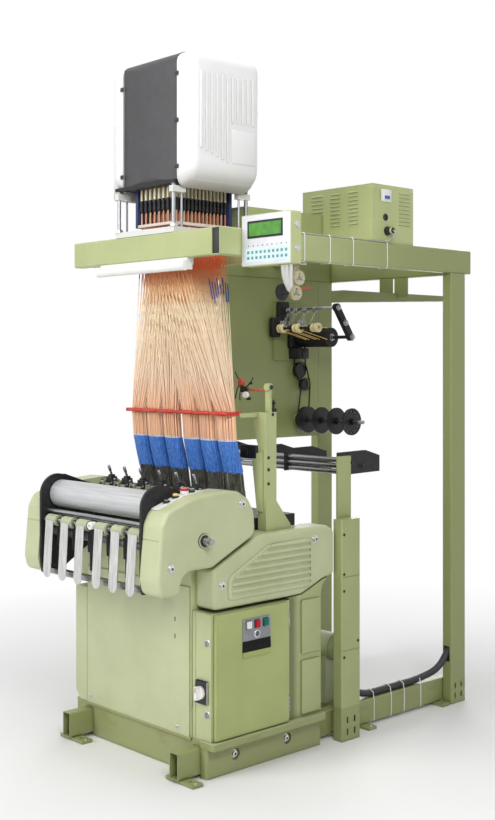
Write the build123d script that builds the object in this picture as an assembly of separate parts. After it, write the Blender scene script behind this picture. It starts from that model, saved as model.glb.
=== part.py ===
from build123d import *
import math
import os

# Narrow-fabric jacquard loom: six tapes, a jacquard head on a gantry, fixed plant.
# X runs across the loom, Y from the operator side to the back, Z up. Millimetres.
# Design coordinates have X = 0 at the middle of the machine body, Y = 0 at the
# front panel and Z = 0 on the floor. Every part is moved once, when it is written,
# so that the origin is the middle of the bottom of the whole loom.

# Gaps between pieces
seat_gap = 0.3
running_gap = 6.0
pin_clearance = 0.05

# Gantry tubes
tube_width = 50.0
tube_depth = 105.0
tube_wall = 4.0
tube_corner = 6.0
frame_half_width = 440.0
front_beam_y = 53.0
front_beam_overhang = 60.0
rear_post_y = 1447.0
rear_beam_overhang = 39.0
beam_bottom_z = 1948.0
beam_height = 105.0
head_beam_y = 410.0
box_bar_y = (935.0, 1135.0)
box_bar_width = 40.0

# Floor rails
rail_height = 100.0
rail_front_y = -108.0
left_rail_shift = 40.0
foot_thickness = 12.0
foot_width = 50.0
foot_reach = (-34.0, 72.0)
rear_foot_reach = (-4.0, 52.0)
foot_y = (-98.0, 885.0, 1385.0)
anchor_reach = 30.0
anchor_radius = 7.0

# Machine body
body_half_width = 333.0
body_depth = 590.0
body_top_z = 872.0
plinth_height = 138.0
plinth_ledge = 25.0
ledge_depth = 26.0
panel_thickness = 5.0
cover_outer_x = 440.0
cover_relief = 6.0
cover_edge_radius = 14.0
cover_bottom_z = 700.0

# Control cabinet
cabinet_front_y = 10.0
cabinet_back_y = 418.0
cabinet_top_z = 611.0
sheet = 3.0
door_thickness = 14.0

# Take-off
roller_radius = 55.0
roller_y = -140.0
roller_z = 1013.0
roller_half_length = 315.0
end_plate_thickness = 12.0
journal_radius = 15.0
tape_group = 3
tape_pitch = 105.0
tape_group_offset = 165.5
tape_middle_x = 14.5
strip_width = 52.0

# Mid columns and warp rods
column_width = 50.0
column_depth = 112.0
column_y = 690.0
column_top_z = 903.0
column_offset = 22.0
warp_rod_radius = 11.0

# Jacquard head and harness
head_x = 5.0
head_half_width = 173.0
head_cover_width = 88.0
head_front_y = 58.0
head_back_y = 440.0
head_bottom_z = 2258.0
head_height = 500.0
hook_x = (-127.0, 100.0)
hook_y = (107.0, 405.0)
hook_bottom_z = 2075.0
fan_split_z = 1492.0
red_bar_z = 1345.0
sleeve_top_z = 1242.0
sleeve_bottom_z = 1110.0
bed_top_z = 930.0

# Overall extents of the design, which place the origin
extent_x = (-frame_half_width - front_beam_overhang, 711.0)
extent_y = (-250.0, 1950.0)
origin = (
    (extent_x[0] + extent_x[1]) / 2,
    (extent_y[0] + extent_y[1]) / 2,
    0.0,
)

os.makedirs("parts", exist_ok=True)


def block(x0, x1, y0, y1, z0, z1):
    """A plain block between two corners."""
    size = Box(x1 - x0, y1 - y0, z1 - z0)
    return Pos((x0 + x1) / 2, (y0 + y1) / 2, (z0 + z1) / 2) * size


def rod_x(x0, x1, y, z, radius):
    """A round bar along X."""
    bar = Rot(0, 90, 0) * Cylinder(radius, x1 - x0)
    return Pos((x0 + x1) / 2, y, z) * bar


def rod_y(y0, y1, x, z, radius):
    """A round bar along Y."""
    bar = Rot(90, 0, 0) * Cylinder(radius, y1 - y0)
    return Pos(x, (y0 + y1) / 2, z) * bar


def rod_z(z0, z1, x, y, radius):
    """A round bar along Z."""
    return Pos(x, y, (z0 + z1) / 2) * Cylinder(radius, z1 - z0)


def corner_radii(points, closed, largest):
    """Radius for each corner, as large as its shorter side allows up to a limit."""
    vectors = [Vector(*point) for point in points]
    if closed:
        vectors = [vectors[-1]] + vectors + [vectors[0]]
    radii = []
    for before, here, after in zip(vectors, vectors[1:], vectors[2:]):
        turn = math.radians((here - before).get_angle(after - here))
        shorter = min((here - before).length, (after - here).length)
        radii.append(min(largest, 0.45 * shorter / math.tan(turn / 2)))
    return radii


def plate_x(points, x0, x1):
    """A plate of constant thickness along X with its outline in Y and Z."""
    wire = Polyline(*[(x0, y, z) for y, z in points], close=True)
    return extrude(make_face(wire), x1 - x0, dir=(1, 0, 0))


def plate_y(points, y0, y1):
    """A plate of constant thickness along Y with its outline in X and Z."""
    wire = Polyline(*[(x, y0, z) for x, z in points], close=True)
    return extrude(make_face(wire), y1 - y0, dir=(0, 1, 0))


def round_plate_x(points, x0, x1, largest):
    """A plate along X whose outline has rounded corners."""
    corners = [(x0, y, z) for y, z in points]
    radii = corner_radii(corners, True, largest)
    wire = FilletPolyline(*corners, radius=radii, close=True)
    return extrude(make_face(wire), x1 - x0, dir=(1, 0, 0))


def tube(width, depth, length):
    """A rectangular tube with rounded corners along Z, open at both ends."""
    outer = RectangleRounded(width, depth, tube_corner)
    inner = RectangleRounded(width - 2 * tube_wall, depth - 2 * tube_wall,
                             tube_corner - tube_wall)
    return extrude(outer - inner, length)


def tube_x(x0, x1, y0, y1, z0, z1):
    """A tube along X between two corners."""
    bar = Rot(0, 90, 0) * tube(z1 - z0, y1 - y0, x1 - x0)
    return Pos(x0, (y0 + y1) / 2, (z0 + z1) / 2) * bar


def tube_y(x0, x1, y0, y1, z0, z1):
    """A tube along Y between two corners."""
    bar = Rot(90, 0, 0) * tube(x1 - x0, z1 - z0, y1 - y0)
    return Pos((x0 + x1) / 2, y1, (z0 + z1) / 2) * bar


def tube_z(x0, x1, y0, y1, z0, z1):
    """A tube along Z between two corners."""
    return Pos((x0 + x1) / 2, (y0 + y1) / 2, z0) * tube(x1 - x0, y1 - y0, z1 - z0)


def slots_x(x, ys, zs, radius, half_height):
    """Upright slots through a wall that faces X."""
    cuts = []
    for y in ys:
        for z in zs:
            slot = block(x - 8, x + 8, y - radius, y + radius,
                         z - half_height, z + half_height)
            cuts.append(slot)
    return cuts


def mirrored(solid):
    """The same piece on the other side of the loom."""
    return mirror(solid, about=Plane.YZ)


def save(name, pieces):
    """Move the pieces to the part's origin and write them as one node."""
    solids = []
    for piece in pieces:
        solids.extend((Pos(-origin[0], -origin[1], -origin[2]) * piece).solids())
    node = Compound(children=solids) if len(solids) > 1 else solids[0]
    export_step(node, f"parts/{name}.step")


beam_top_z = beam_bottom_z + beam_height
frame_inner_x = frame_half_width - tube_width
rail_inner_x = frame_inner_x - tube_width
rail_top_z = foot_thickness + rail_height
post_back_y = rear_post_y + tube_depth
rear_beam_back_y = post_back_y + rear_beam_overhang
spacer_z = (foot_thickness + 16.0, rail_top_z - 12.0)
column_inner_x = cover_outer_x - column_offset
column_outer_x = column_inner_x + column_width
column_back_y = column_y + column_depth


def floor_rail(x0, to_post, to_column):
    """Floor tube with its foot plates and its blocks to the post and the column."""
    x1 = x0 + tube_width
    rail = tube_y(x0, x1, rail_front_y, post_back_y, foot_thickness, rail_top_z)
    for index, y in enumerate(foot_y):
        reach = foot_reach if index == 0 else rear_foot_reach
        rail += block(x0 + reach[0], x1 + reach[1], y, y + foot_width, 0, foot_thickness)
        if index != 1:
            rail -= rod_z(-1, foot_thickness + 1, x1 + anchor_reach,
                          y + foot_width / 2, anchor_radius)
    for x, y0, y1 in ((to_post, rear_post_y, post_back_y),
                      (to_column, column_y, column_back_y)):
        inner, outer = sorted((x, x1 if x > x1 else x0))
        if outer - inner > 1:
            rail += block(inner, outer, y0 + 20, y1 - 20, spacer_z[0], spacer_z[1])
    return rail


left_rail_x = -rail_inner_x + left_rail_shift - tube_width
save("floor_rails", [floor_rail(rail_inner_x, frame_inner_x, column_inner_x),
                     floor_rail(left_rail_x, -frame_inner_x, -column_inner_x)])


def rear_post():
    """Upright tube at the back, slotted at its foot for the rail bolts."""
    post = tube_z(frame_inner_x, frame_half_width, rear_post_y, post_back_y,
                  0, beam_bottom_z)
    middle = (rear_post_y + post_back_y) / 2
    post -= slots_x(frame_half_width, (middle - 22, middle + 22), (36.0, 80.0), 5, 12)
    return post


# The cable bundle enters the right post through its front wall
cable_radius = 15.0
cable_low_z = rail_top_z + cable_radius + seat_gap
cable_entry_x = frame_inner_x + 22
cable_entry_z = cable_low_z + 98
right_post = rear_post() - block(cable_entry_x - 18, cable_entry_x + 18,
                                 rear_post_y - 1, rear_post_y + tube_wall + 1,
                                 cable_entry_z - 34, cable_entry_z + 34)
save("rear_post_right", [right_post])
save("rear_post_left", [mirrored(rear_post())])

# Top frame
front_beam_back_y = front_beam_y + tube_width
rear_beam_front_y = rear_beam_back_y - tube_width
head_beam_back_y = head_beam_y + tube_width
save("side_beam_right", [tube_y(frame_inner_x, frame_half_width, front_beam_y,
                                rear_beam_back_y, beam_bottom_z, beam_top_z)])
save("side_beam_left", [tube_y(-frame_half_width, -frame_inner_x, front_beam_back_y,
                               rear_beam_back_y, beam_bottom_z, beam_top_z)])
save("front_beam", [tube_x(extent_x[0], frame_inner_x, front_beam_y,
                           front_beam_back_y, beam_bottom_z, beam_top_z)])
cross_beams = [tube_x(-frame_inner_x, frame_inner_x, y, y + box_bar_width,
                      beam_top_z - tube_width, beam_top_z) for y in box_bar_y]
for y in (head_beam_y, rear_beam_front_y):
    cross_beams.append(tube_x(-frame_inner_x, frame_inner_x, y, y + tube_width,
                              beam_bottom_z, beam_top_z))
save("cross_beams", cross_beams)

# Tapered arm hung under the rear beam, which guides the warp yarn
arm_x = (-30.0, 46.0)
arm_front_y = 1160.0
arm_drop = 73.0
arm_front_depth = 55.0
arm_back_depth = 24.0
hanger_width = 79.0
hanger_x = (-65.0, 28.0)


def yarn_arm():
    top = beam_bottom_z - arm_drop
    outline = ((arm_front_y, top), (extent_y[1], top),
               (extent_y[1], top - arm_back_depth), (arm_front_y, top - arm_front_depth))
    arm = plate_x(outline, arm_x[0], arm_x[1])
    for x in hanger_x:
        arm += block(x, x + hanger_width, rear_beam_front_y, rear_beam_front_y + 8,
                     top - 20, beam_bottom_z)
    return arm


save("yarn_arm", [yarn_arm()])

# Machine body with its plinth and front panel
plinth_side_x = cover_outer_x - 15
housing_outer_x = cover_outer_x - 28
plinth_bolt_y = (145.0, 420.0)
plinth_bolt_z = 66.0


def machine_base():
    base = block(-body_half_width, body_half_width, panel_thickness, body_depth,
                 plinth_height, body_top_z)
    plinth = block(-housing_outer_x, plinth_side_x, 8, body_depth + 16, 0,
                   plinth_height)
    plinth += block(-body_half_width, body_half_width, 0, 10, plinth_height - 12,
                    plinth_height)
    right = block(frame_inner_x, plinth_side_x, 0, body_depth, 0, plinth_height)
    plinth += fillet(right.edges().filter_by(Axis.Z).sort_by(Axis.X)[-2:], 12)
    ledge = block(frame_inner_x, cover_outer_x + plinth_ledge, -2, body_depth + 16,
                  plinth_height - ledge_depth, plinth_height)
    plinth += fillet(ledge.edges().filter_by(Axis.Z).sort_by(Axis.X)[-2:], 14)
    for x0 in (rail_inner_x, left_rail_x):
        plinth -= block(x0 - seat_gap, x0 + tube_width + seat_gap, -3,
                        body_depth + 17, -1, rail_top_z + seat_gap)
    for y in plinth_bolt_y:
        plinth -= rod_x(plinth_side_x - 10, plinth_side_x + 1, y, plinth_bolt_z, 22)
    return base + plinth


save("machine_base", [machine_base()])
front_panel = block(-body_half_width + 2, body_half_width - 8, 0, panel_thickness,
                    plinth_height, cover_bottom_z)
save("front_panel", [front_panel])
housing_chamfer = 34.0
housing_outline = ((-housing_outer_x, cabinet_top_z), (-body_half_width, cabinet_top_z),
                   (-body_half_width, plinth_height),
                   (-housing_outer_x + housing_chamfer, plinth_height),
                   (-housing_outer_x, plinth_height + housing_chamfer))
save("left_housing", [plate_y(housing_outline, 0, cabinet_back_y)])

# Cabinet with its hinged door on the right side
cabinet_outer_x = cover_outer_x - 2
cabinet_rim = 14.0


def cabinet():
    shell = block(body_half_width, cabinet_outer_x, cabinet_front_y, cabinet_back_y,
                  plinth_height, cabinet_top_z)
    shell -= block(body_half_width + sheet, cabinet_outer_x + 1,
                   cabinet_front_y + 26, cabinet_back_y - 24,
                   plinth_height + cabinet_rim, cabinet_top_z - cabinet_rim)
    shell -= block(body_half_width + 18, body_half_width + 20, cabinet_front_y - 1,
                   cabinet_front_y + 2, plinth_height - 1, cabinet_top_z + 1)
    return shell


save("control_cabinet", [cabinet()])
hinge_radius = 5.0
hinge_pin_radius = 2.5
door_front_y = cabinet_front_y + 12
door_back_y = cabinet_back_y - 16
door_bottom_z = plinth_height + 3
door_top_z = cabinet_top_z - 3
door_inner_x = cabinet_outer_x + 0.5
door_outer_x = door_inner_x + door_thickness
hinge_x = cabinet_outer_x + hinge_radius + 1
hinge_y = door_back_y + hinge_radius + 2


def door():
    leaf = block(door_inner_x, door_outer_x, door_front_y, door_back_y,
                 door_bottom_z, door_top_z)
    outer = leaf.faces().sort_by(Axis.X)[-1]
    leaf = fillet(outer.edges(), 3)
    leaf -= block(door_inner_x - 1, door_outer_x - sheet, door_front_y + sheet,
                  door_back_y - sheet, door_bottom_z + sheet, door_top_z - sheet)
    return leaf


save("cabinet_door", [door()])

# Hinges, locks, control plate and main switch of the cabinet
hinge_z = (door_bottom_z + 70, door_top_z - 70)
hinge_length = 60.0


def door_hinges():
    """Fixed hinge halves on the cabinet with the pins that the door turns on."""
    pieces = []
    for z in hinge_z:
        bottom = z - hinge_length / 2
        leaf = block(cabinet_outer_x, hinge_x, hinge_y, hinge_y + 3, bottom, z)
        knuckle = rod_z(bottom, z, hinge_x, hinge_y, hinge_radius)
        pin = rod_z(z - 1, z + hinge_length / 2, hinge_x, hinge_y, hinge_pin_radius)
        pieces.append(leaf + knuckle + pin)
    return pieces


def door_knuckles():
    """Hinge halves of the door, which turn on the pins."""
    pieces = []
    for z in hinge_z:
        top = z + hinge_length / 2
        knuckle = rod_z(z + seat_gap, top, hinge_x, hinge_y, hinge_radius)
        arm = block(hinge_x, door_outer_x - 4, door_back_y, hinge_y + 2,
                    z + seat_gap, top)
        bore = rod_z(z - 5, top + 5, hinge_x, hinge_y, hinge_pin_radius + pin_clearance)
        pieces.append(arm + knuckle - bore)
    return pieces


save("door_hinges", door_hinges())
save("door_knuckles", door_knuckles())

control_plate_y = (155.0, 300.0)
control_plate_z = (430.0, 575.0)
control_plate_x = door_outer_x + 3
button_pitch = 44.0


def door_controls():
    """Control plate with three buttons, an indicator and a bare lower field."""
    y0, y1 = control_plate_y
    z0, z1 = control_plate_z
    body = block(door_outer_x, control_plate_x, y0, y1, z0, z1)
    for index in range(3):
        y = y0 + 28 + index * button_pitch
        body += block(control_plate_x, control_plate_x + 9, y - 11, y + 11,
                      z1 - 36, z1 - 10)
    body += rod_x(control_plate_x, control_plate_x + 3, (y0 + y1) / 2, z1 - 62, 12)
    body += block(control_plate_x, control_plate_x + 1.5, y0, y1, z0, z0 + 46)
    return body


save("door_controls", [door_controls()])

lock_x = 419.0
lock_z = (503.0, 238.0)
switch_x = 393.0
switch_z = 319.0
switch_width = 62.0
switch_height = 84.0
switch_depth = 12.0
knob_radius = 24.0
knob_depth = 26.0
save("cabinet_locks", [rod_y(cabinet_front_y - 6, cabinet_front_y, lock_x, z, 11)
                       for z in lock_z])
switch_front_y = cabinet_front_y - switch_depth
switch_plate = block(switch_x - switch_width / 2, switch_x + switch_width / 2,
                     switch_front_y, cabinet_front_y,
                     switch_z - switch_height / 2, switch_z + switch_height / 2)
switch_shaft_radius = 4.0
switch_plate += rod_y(switch_front_y - 12, switch_front_y, switch_x, switch_z,
                      switch_shaft_radius)
save("main_switch", [switch_plate])
knob_back_y = switch_front_y - seat_gap
knob = rod_y(knob_back_y - 10, knob_back_y, switch_x, switch_z, knob_radius)
knob += block(switch_x - 7, switch_x + 7, knob_back_y - knob_depth, knob_back_y - 10,
              switch_z - knob_radius, switch_z + knob_radius)
knob -= rod_y(switch_front_y - 12 - seat_gap, switch_front_y + 1, switch_x, switch_z,
              switch_shaft_radius + pin_clearance)
save("main_switch_knob", [knob])

# Ribbed side cover over the drive: a rounded hood with a raised, grooved field
side_cover_outline = ((27.0, 621.0), (27.0, 772.0), (250.0, 876.0), (282.0, 884.0),
                      (640.0, 884.0), (681.0, 860.0), (681.0, 682.0), (617.0, 670.0),
                      (493.0, 622.0))
field_outline = ((98.0, 652.0), (98.0, 728.0), (126.0, 752.0), (300.0, 838.0),
                 (520.0, 846.0), (556.0, 826.0), (556.0, 668.0), (538.0, 652.0))
groove_count = 7
groove_pitch = 25.0
groove_first_z = 672.0
groove_radius = 8.0
relief_x = cover_outer_x - cover_relief


def side_cover():
    hood = round_plate_x(side_cover_outline, body_half_width, relief_x, 20)
    outer = hood.faces().sort_by(Axis.X)[-1]
    hood = fillet(outer.edges(), cover_edge_radius)
    field = round_plate_x(field_outline, relief_x - 1, cover_outer_x, 14)
    field = fillet(field.faces().sort_by(Axis.X)[-1].edges(), 4)
    hood += field
    for row in range(groove_count):
        z = groove_first_z + row * groove_pitch
        front = field_outline[0][0] + 18 + max(0.0, z - field_outline[1][1]) * 1.9
        hood -= rod_y(front, field_outline[5][0] - 18, cover_outer_x + 4, z,
                      groove_radius)
    return hood


leg_front_y = cabinet_back_y + 2
leg_back_y = 602.0
leg_pads = ((150.0, 361.0), (389.0, 600.0))


def side_leg():
    """Hollow-looking leg under the side cover, with two pressed fields."""
    under = side_cover_outline[-1]
    rise = side_cover_outline[-2]
    tail = side_cover_outline[-3]
    reach_y = rise[0] + 26
    slope = (tail[1] - rise[1]) / (tail[0] - rise[0])
    reach_z = rise[1] + slope * (reach_y - rise[0])
    outline = ((leg_front_y, plinth_height), (leg_back_y, plinth_height),
               (leg_back_y, rise[1] - 62), (leg_back_y + 7, rise[1] - 28),
               (leg_back_y + 22, rise[1] - 8), (reach_y, reach_z - seat_gap),
               (rise[0], rise[1] - seat_gap), (under[0], under[1] - seat_gap),
               (leg_front_y, under[1] - seat_gap - 1))
    leg = plate_x(outline, body_half_width + 6, relief_x)
    for z0, z1 in leg_pads:
        pad = round_plate_x(((487, z0), (590, z0), (590, z1), (487, z1)),
                            relief_x - 1, cover_outer_x, 16)
        leg += fillet(pad.faces().sort_by(Axis.X)[-1].edges(), 4)
    return leg


save("side_cover_right", [side_cover()])
save("side_cover_left", [mirrored(side_cover())])
save("side_legs", [side_leg(), mirrored(side_leg())])

# End covers of the take-off, with the shaft stub on the right
end_cover_outline = ((-138.0, cover_bottom_z), (-129.0, 756.0), (-96.0, 784.0),
                     (20.0, 784.0), (238.0, 888.0), (231.0, 974.0), (202.0, 1026.0),
                     (149.0, 1058.0), (91.0, 1065.0), (2.0, 1060.0), (-72.0, 1051.0),
                     (-197.0, 1007.0), (-222.0, 960.0), (-240.0, 760.0),
                     (-226.0, cover_bottom_z))
seam_z = 905.0
seam_radius = 3.0
stub_y = -25.0
stub_z = 889.0
stub_journal_radius = 16.0
stub_collar_radius = 27.0
stub_bore_depth = 40.0
stub_step = 18.0
stub_end_radius = 12.0
stub_end_length = 28.0


def end_cover():
    body = round_plate_x(end_cover_outline, body_half_width, cover_outer_x, 45)
    outer = body.faces().sort_by(Axis.X)[-1]
    body = fillet(outer.edges(), cover_edge_radius)
    low, high = end_cover_outline[13], end_cover_outline[12]
    share = (seam_z - low[1]) / (high[1] - low[1])
    seam_y = low[0] + (high[0] - low[0]) * share
    return body - rod_x(body_half_width - 1, cover_outer_x - cover_edge_radius,
                        seam_y - 1, seam_z, seam_radius)


def right_end_cover():
    body = end_cover()
    body += rod_x(cover_outer_x - 1, cover_outer_x + 5, stub_y, stub_z,
                  stub_collar_radius)
    body -= rod_x(cover_outer_x - 2, cover_outer_x + 6, stub_y, stub_z,
                  stub_collar_radius - 5)
    return body - rod_x(cover_outer_x - stub_bore_depth, cover_outer_x, stub_y, stub_z,
                        stub_journal_radius + pin_clearance)


stub_shoulder_x = cover_outer_x + stub_step
stub_end_x = stub_shoulder_x + stub_end_length
stub = rod_x(cover_outer_x - stub_bore_depth + seat_gap, stub_shoulder_x, stub_y,
             stub_z, stub_journal_radius)
stub += rod_x(stub_shoulder_x, stub_end_x, stub_y, stub_z, stub_end_radius)
save("end_cover_right", [right_end_cover()])
save("end_cover_left", [mirrored(end_cover())])
save("hand_shaft", [stub])

# Sloping strip of push buttons on the right end cover
strip_rise = 4.0
button_strip_width = 44.0
strip_outline = ((-190.0, 1009.5), (-72.0, 1051.0), (2.0, 1060.0), (22.0, 1061.0))
button_places = ((-136.0, 1028.3, 9.0, 10.0), (-94.0, 1043.5, 10.0, 14.0),
                 (-51.0, 1053.5, 16.0, 24.0), (-17.0, 1057.5, 10.0, 14.0))


def button_strip():
    x0 = body_half_width + 4
    low = tuple((y, z + seat_gap) for y, z in strip_outline)
    top = tuple((y, z + strip_rise) for y, z in reversed(strip_outline))
    body = plate_x(low + top, x0, x0 + button_strip_width)
    for y, z, radius, height in button_places:
        body += rod_z(z + strip_rise, z + strip_rise + height,
                      x0 + button_strip_width / 2, y, radius)
    return body


save("button_strip", [button_strip()])

# Take-off roller between its end plates
end_plate_inner_x = roller_half_length + running_gap
end_plate_outer_x = end_plate_inner_x + end_plate_thickness
end_plate_back_y = -1.0
guard_radius = roller_radius + 25
end_plate_outline = ((-232.0, 768.0), (-224.0, cover_bottom_z + 1),
                     (-140.0, cover_bottom_z + 1), (end_plate_back_y, 790.0),
                     (end_plate_back_y, body_top_z + 4), (26.0, body_top_z + 4),
                     (26.0, 1037.0), (-118.0, 1090.0), (roller_y, roller_z),
                     (-232.0, 1000.0))


def take_off_plate():
    """Black end plate with a round nose that follows the roller."""
    plate = plate_x(end_plate_outline, end_plate_inner_x, end_plate_outer_x)
    plate += rod_x(end_plate_inner_x, end_plate_outer_x, roller_y - 12, roller_z,
                   guard_radius)
    plate -= rod_x(end_plate_inner_x - 1, end_plate_outer_x + 1, roller_y, roller_z,
                   journal_radius + pin_clearance)
    return plate


journal_end = end_plate_outer_x - seat_gap
roller = rod_x(-roller_half_length, roller_half_length, roller_y, roller_z,
               roller_radius)
roller += rod_x(-journal_end, journal_end, roller_y, roller_z, journal_radius)
save("take_off_roller", [roller])
save("take_off_plates", [take_off_plate(), mirrored(take_off_plate())])

# Bars across the take-off, rings and bright strips that lead the tapes down
ring_y = -212.0
ring_z = 916.0
ring_radius = 22.0
ring_width = 66.0
ring_shaft_radius = 8.0
cross_bars = ((-196.0, 950.0, 8.0), (-172.0, 934.0, 8.0))
lower_bar_y = (-222.0, -196.0)
lower_bar_z = (cover_bottom_z + 3, cover_bottom_z + 24)
tape_x = [tape_middle_x + side * tape_group_offset + (index - 1) * tape_pitch
          for side in (-1, 1) for index in range(tape_group)]
bars = [rod_x(-end_plate_inner_x, end_plate_inner_x, y, z, radius)
        for y, z, radius in cross_bars]
bars.append(rod_x(-end_plate_inner_x, end_plate_inner_x, ring_y, ring_z,
                  ring_shaft_radius))
bars.append(block(-end_plate_inner_x, end_plate_inner_x, lower_bar_y[0],
                  lower_bar_y[1], lower_bar_z[0], lower_bar_z[1]))
save("take_off_bars", bars)


def tape_ring(x):
    ring = rod_x(x - ring_width / 2, x + ring_width / 2, ring_y, ring_z, ring_radius)
    return ring - rod_x(x - ring_width, x + ring_width, ring_y, ring_z,
                        ring_shaft_radius + seat_gap)


save("tape_rings", [tape_ring(x) for x in tape_x])
strip_top = (ring_y - ring_radius - seat_gap, ring_z)
strip_bottom = (strip_top[0] - 14.0, cover_bottom_z - 8)
strip_thickness = 2.0


def tape_strip(x):
    """Bright steel strip that guides one tape down, round at its lower end."""
    length = math.dist(strip_top, strip_bottom)
    lean = math.degrees(math.atan2(strip_top[0] - strip_bottom[0],
                                   strip_top[1] - strip_bottom[1]))
    strip = block(-strip_width / 2, strip_width / 2, -strip_thickness, 0,
                  -length + strip_width / 2, 0)
    strip += rod_y(-strip_thickness, 0, 0, -length + strip_width / 2, strip_width / 2)
    return Pos(x, strip_top[0], strip_top[1]) * (Rot(-lean, 0, 0) * strip)


save("tape_strips", [tape_strip(x) for x in tape_x])

# Weaving bed with a casting and a lever for each tape
bed_y = (32.0, 560.0)
casting_width = 84.0
lever_y = 70.0
save("weaving_bed", [block(-body_half_width + 6, body_half_width - 6, bed_y[0],
                           bed_y[1], body_top_z, bed_top_z)])


def lever(x):
    """Casting with its clamp block and a bright lever that leans forward."""
    half = casting_width / 2
    profile = ((bed_y[0], bed_top_z), (lever_y + 86, bed_top_z),
               (lever_y + 86, bed_top_z + 60), (lever_y + 30, bed_top_z + 104),
               (lever_y - 26, bed_top_z + 104), (bed_y[0], bed_top_z + 70))
    body = plate_x(profile, x - half, x + half)
    body -= block(x - 9, x + 9, bed_y[0] - 1, lever_y + 87, bed_top_z + 78,
                  bed_top_z + 105)
    clamp = block(x - 22, x + 22, lever_y - 18, lever_y + 18, bed_top_z + 104,
                  bed_top_z + 152)
    stem = Pos(x, lever_y, bed_top_z + 148) * (Rot(22, 0, 0) * rod_z(0, 44, 0, 0, 5))
    return body + clamp + stem


save("needle_levers", [lever(x) for x in tape_x])

# Mid columns with the arms that carry the warp rods
arm_plate_thickness = 8.0
warp_plate_thickness = 8.0
inner_warp_plate_x = 93.0
arm_plate_outline = ((column_y + 85, column_top_z - 68),
                     (column_y + 110, column_top_z - 68),
                     (column_y + 110, column_top_z + 254),
                     (column_y + 28, column_top_z + 254),
                     (column_y + 28, column_top_z - 40))
warp_plate_outline = ((729.0, 1078.0), (800.0, 1078.0), (990.0, 1081.0),
                      (990.0, 1149.0), (900.0, 1175.0), (729.0, 1172.0))
warp_plate_outer_x = column_inner_x - arm_plate_thickness
warp_rod_end = warp_plate_outer_x - warp_plate_thickness
rod_centres = ((750.0, 1092.0), (750.0, 1116.0), (750.0, 1140.0), (950.0, 1094.0),
               (950.0, 1118.0))


def mid_column():
    """Slotted column with a capped top and two shallow cover seams."""
    column = tube_z(column_inner_x, column_outer_x, column_y, column_back_y, 0,
                    column_top_z)
    column += block(column_inner_x + 2, column_outer_x - 2, column_y + 2,
                    column_back_y - 2, column_top_z - 5, column_top_z)
    middle = (column_y + column_back_y) / 2
    column -= slots_x(column_outer_x, (middle - 22, middle + 22), (36.0, 84.0), 5, 13)
    for z in (369.0, 669.0):
        column -= block(column_outer_x - 1.5, column_outer_x + 1, column_y - 1,
                        column_back_y + 1, z - 1, z + 1)
    return column


def warp_plate(x0, holes):
    plate = plate_x(warp_plate_outline, x0, x0 + warp_plate_thickness)
    if holes:
        for y, z in rod_centres:
            plate -= rod_x(x0 - 1, x0 + warp_plate_thickness + 1, y, z,
                           warp_rod_radius + seat_gap / 2)
    return plate


arm_plate = plate_x(arm_plate_outline, warp_plate_outer_x, column_inner_x)
outer_plate = warp_plate(warp_rod_end, False)
inner_plate = warp_plate(inner_warp_plate_x, True)
save("mid_columns", [mid_column(), mirrored(mid_column())])
save("arm_plates", [arm_plate, mirrored(arm_plate)])
save("warp_plates", [outer_plate, mirrored(outer_plate), inner_plate,
                     mirrored(inner_plate)])
save("warp_rods", [rod_x(-warp_rod_end, warp_rod_end, y, z, warp_rod_radius)
                   for y, z in rod_centres])

# Drive motor behind the body, on a tube across the two floor rails
motor_y = body_depth + 214
motor_z = 346.0
motor_radius = 56.0
motor_x = (150.0, 372.0)
pulley_radius = 45.0


def drive_motor():
    x0, x1 = motor_x
    body = rod_x(x0, x1, motor_y, motor_z, motor_radius)
    body -= rod_x(x1 - 42, x1 - 38, motor_y, motor_z, motor_radius + 1) - rod_x(
        x1 - 43, x1 - 37, motor_y, motor_z, motor_radius - 3)
    body += rod_x(x0 - 60, x0, motor_y, motor_z, 14)
    body += rod_x(x0 - 50, x0 - 10, motor_y, motor_z, pulley_radius)
    body += block(x0 + 20, x1 - 60, motor_y - 45, motor_y + 45, rail_top_z,
                  motor_z - motor_radius + 20)
    body += tube_x(left_rail_x + tube_width, rail_inner_x, motor_y - 25, motor_y + 25,
                   rail_top_z - tube_width, rail_top_z)
    return body


save("drive_motor", [drive_motor()])

# Cable bundle along the right floor rail, from behind the column into the rear post
cable_x = rail_inner_x + 26
cable_points = ((cable_x, motor_y + motor_radius + 8, cable_low_z + 26),
                (cable_x, motor_y + 150, cable_low_z),
                (cable_x, rear_post_y - 150, cable_low_z),
                (cable_entry_x, rear_post_y - 60, cable_entry_z - 60),
                (cable_entry_x, rear_post_y + 30, cable_entry_z + 30))


def floor_cable():
    radii = corner_radii(cable_points, False, 220)
    path = FilletPolyline(*cable_points, radius=radii)
    start = Plane(origin=path @ 0, z_dir=path % 0)
    return sweep(start * Circle(cable_radius), path=path)


save("floor_cable", [floor_cable()])

# Hook block under the head: rows of hooks in a plate, slabs at both sides
hook_rows = 8
hook_columns = 12
slab_thickness = 14.0
hook_plate_z = (hook_bottom_z + 18, hook_bottom_z + 30)
hook_top_z = head_bottom_z - seat_gap


def hooks():
    pieces = []
    pitch_x = (hook_x[1] - hook_x[0]) / hook_rows
    pitch_y = (hook_y[1] - hook_y[0]) / hook_columns
    for row in range(hook_rows):
        for column in range(hook_columns):
            x = hook_x[0] + (row + 0.5) * pitch_x
            y = hook_y[0] + (column + 0.5) * pitch_y
            pieces.append(block(x - 4, x + 4, y - 5, y + 5, hook_plate_z[1],
                                hook_top_z))
    return pieces


def hook_slab(x0):
    return block(x0, x0 + slab_thickness, hook_y[0], hook_y[1], hook_plate_z[0],
                 hook_top_z)


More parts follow.
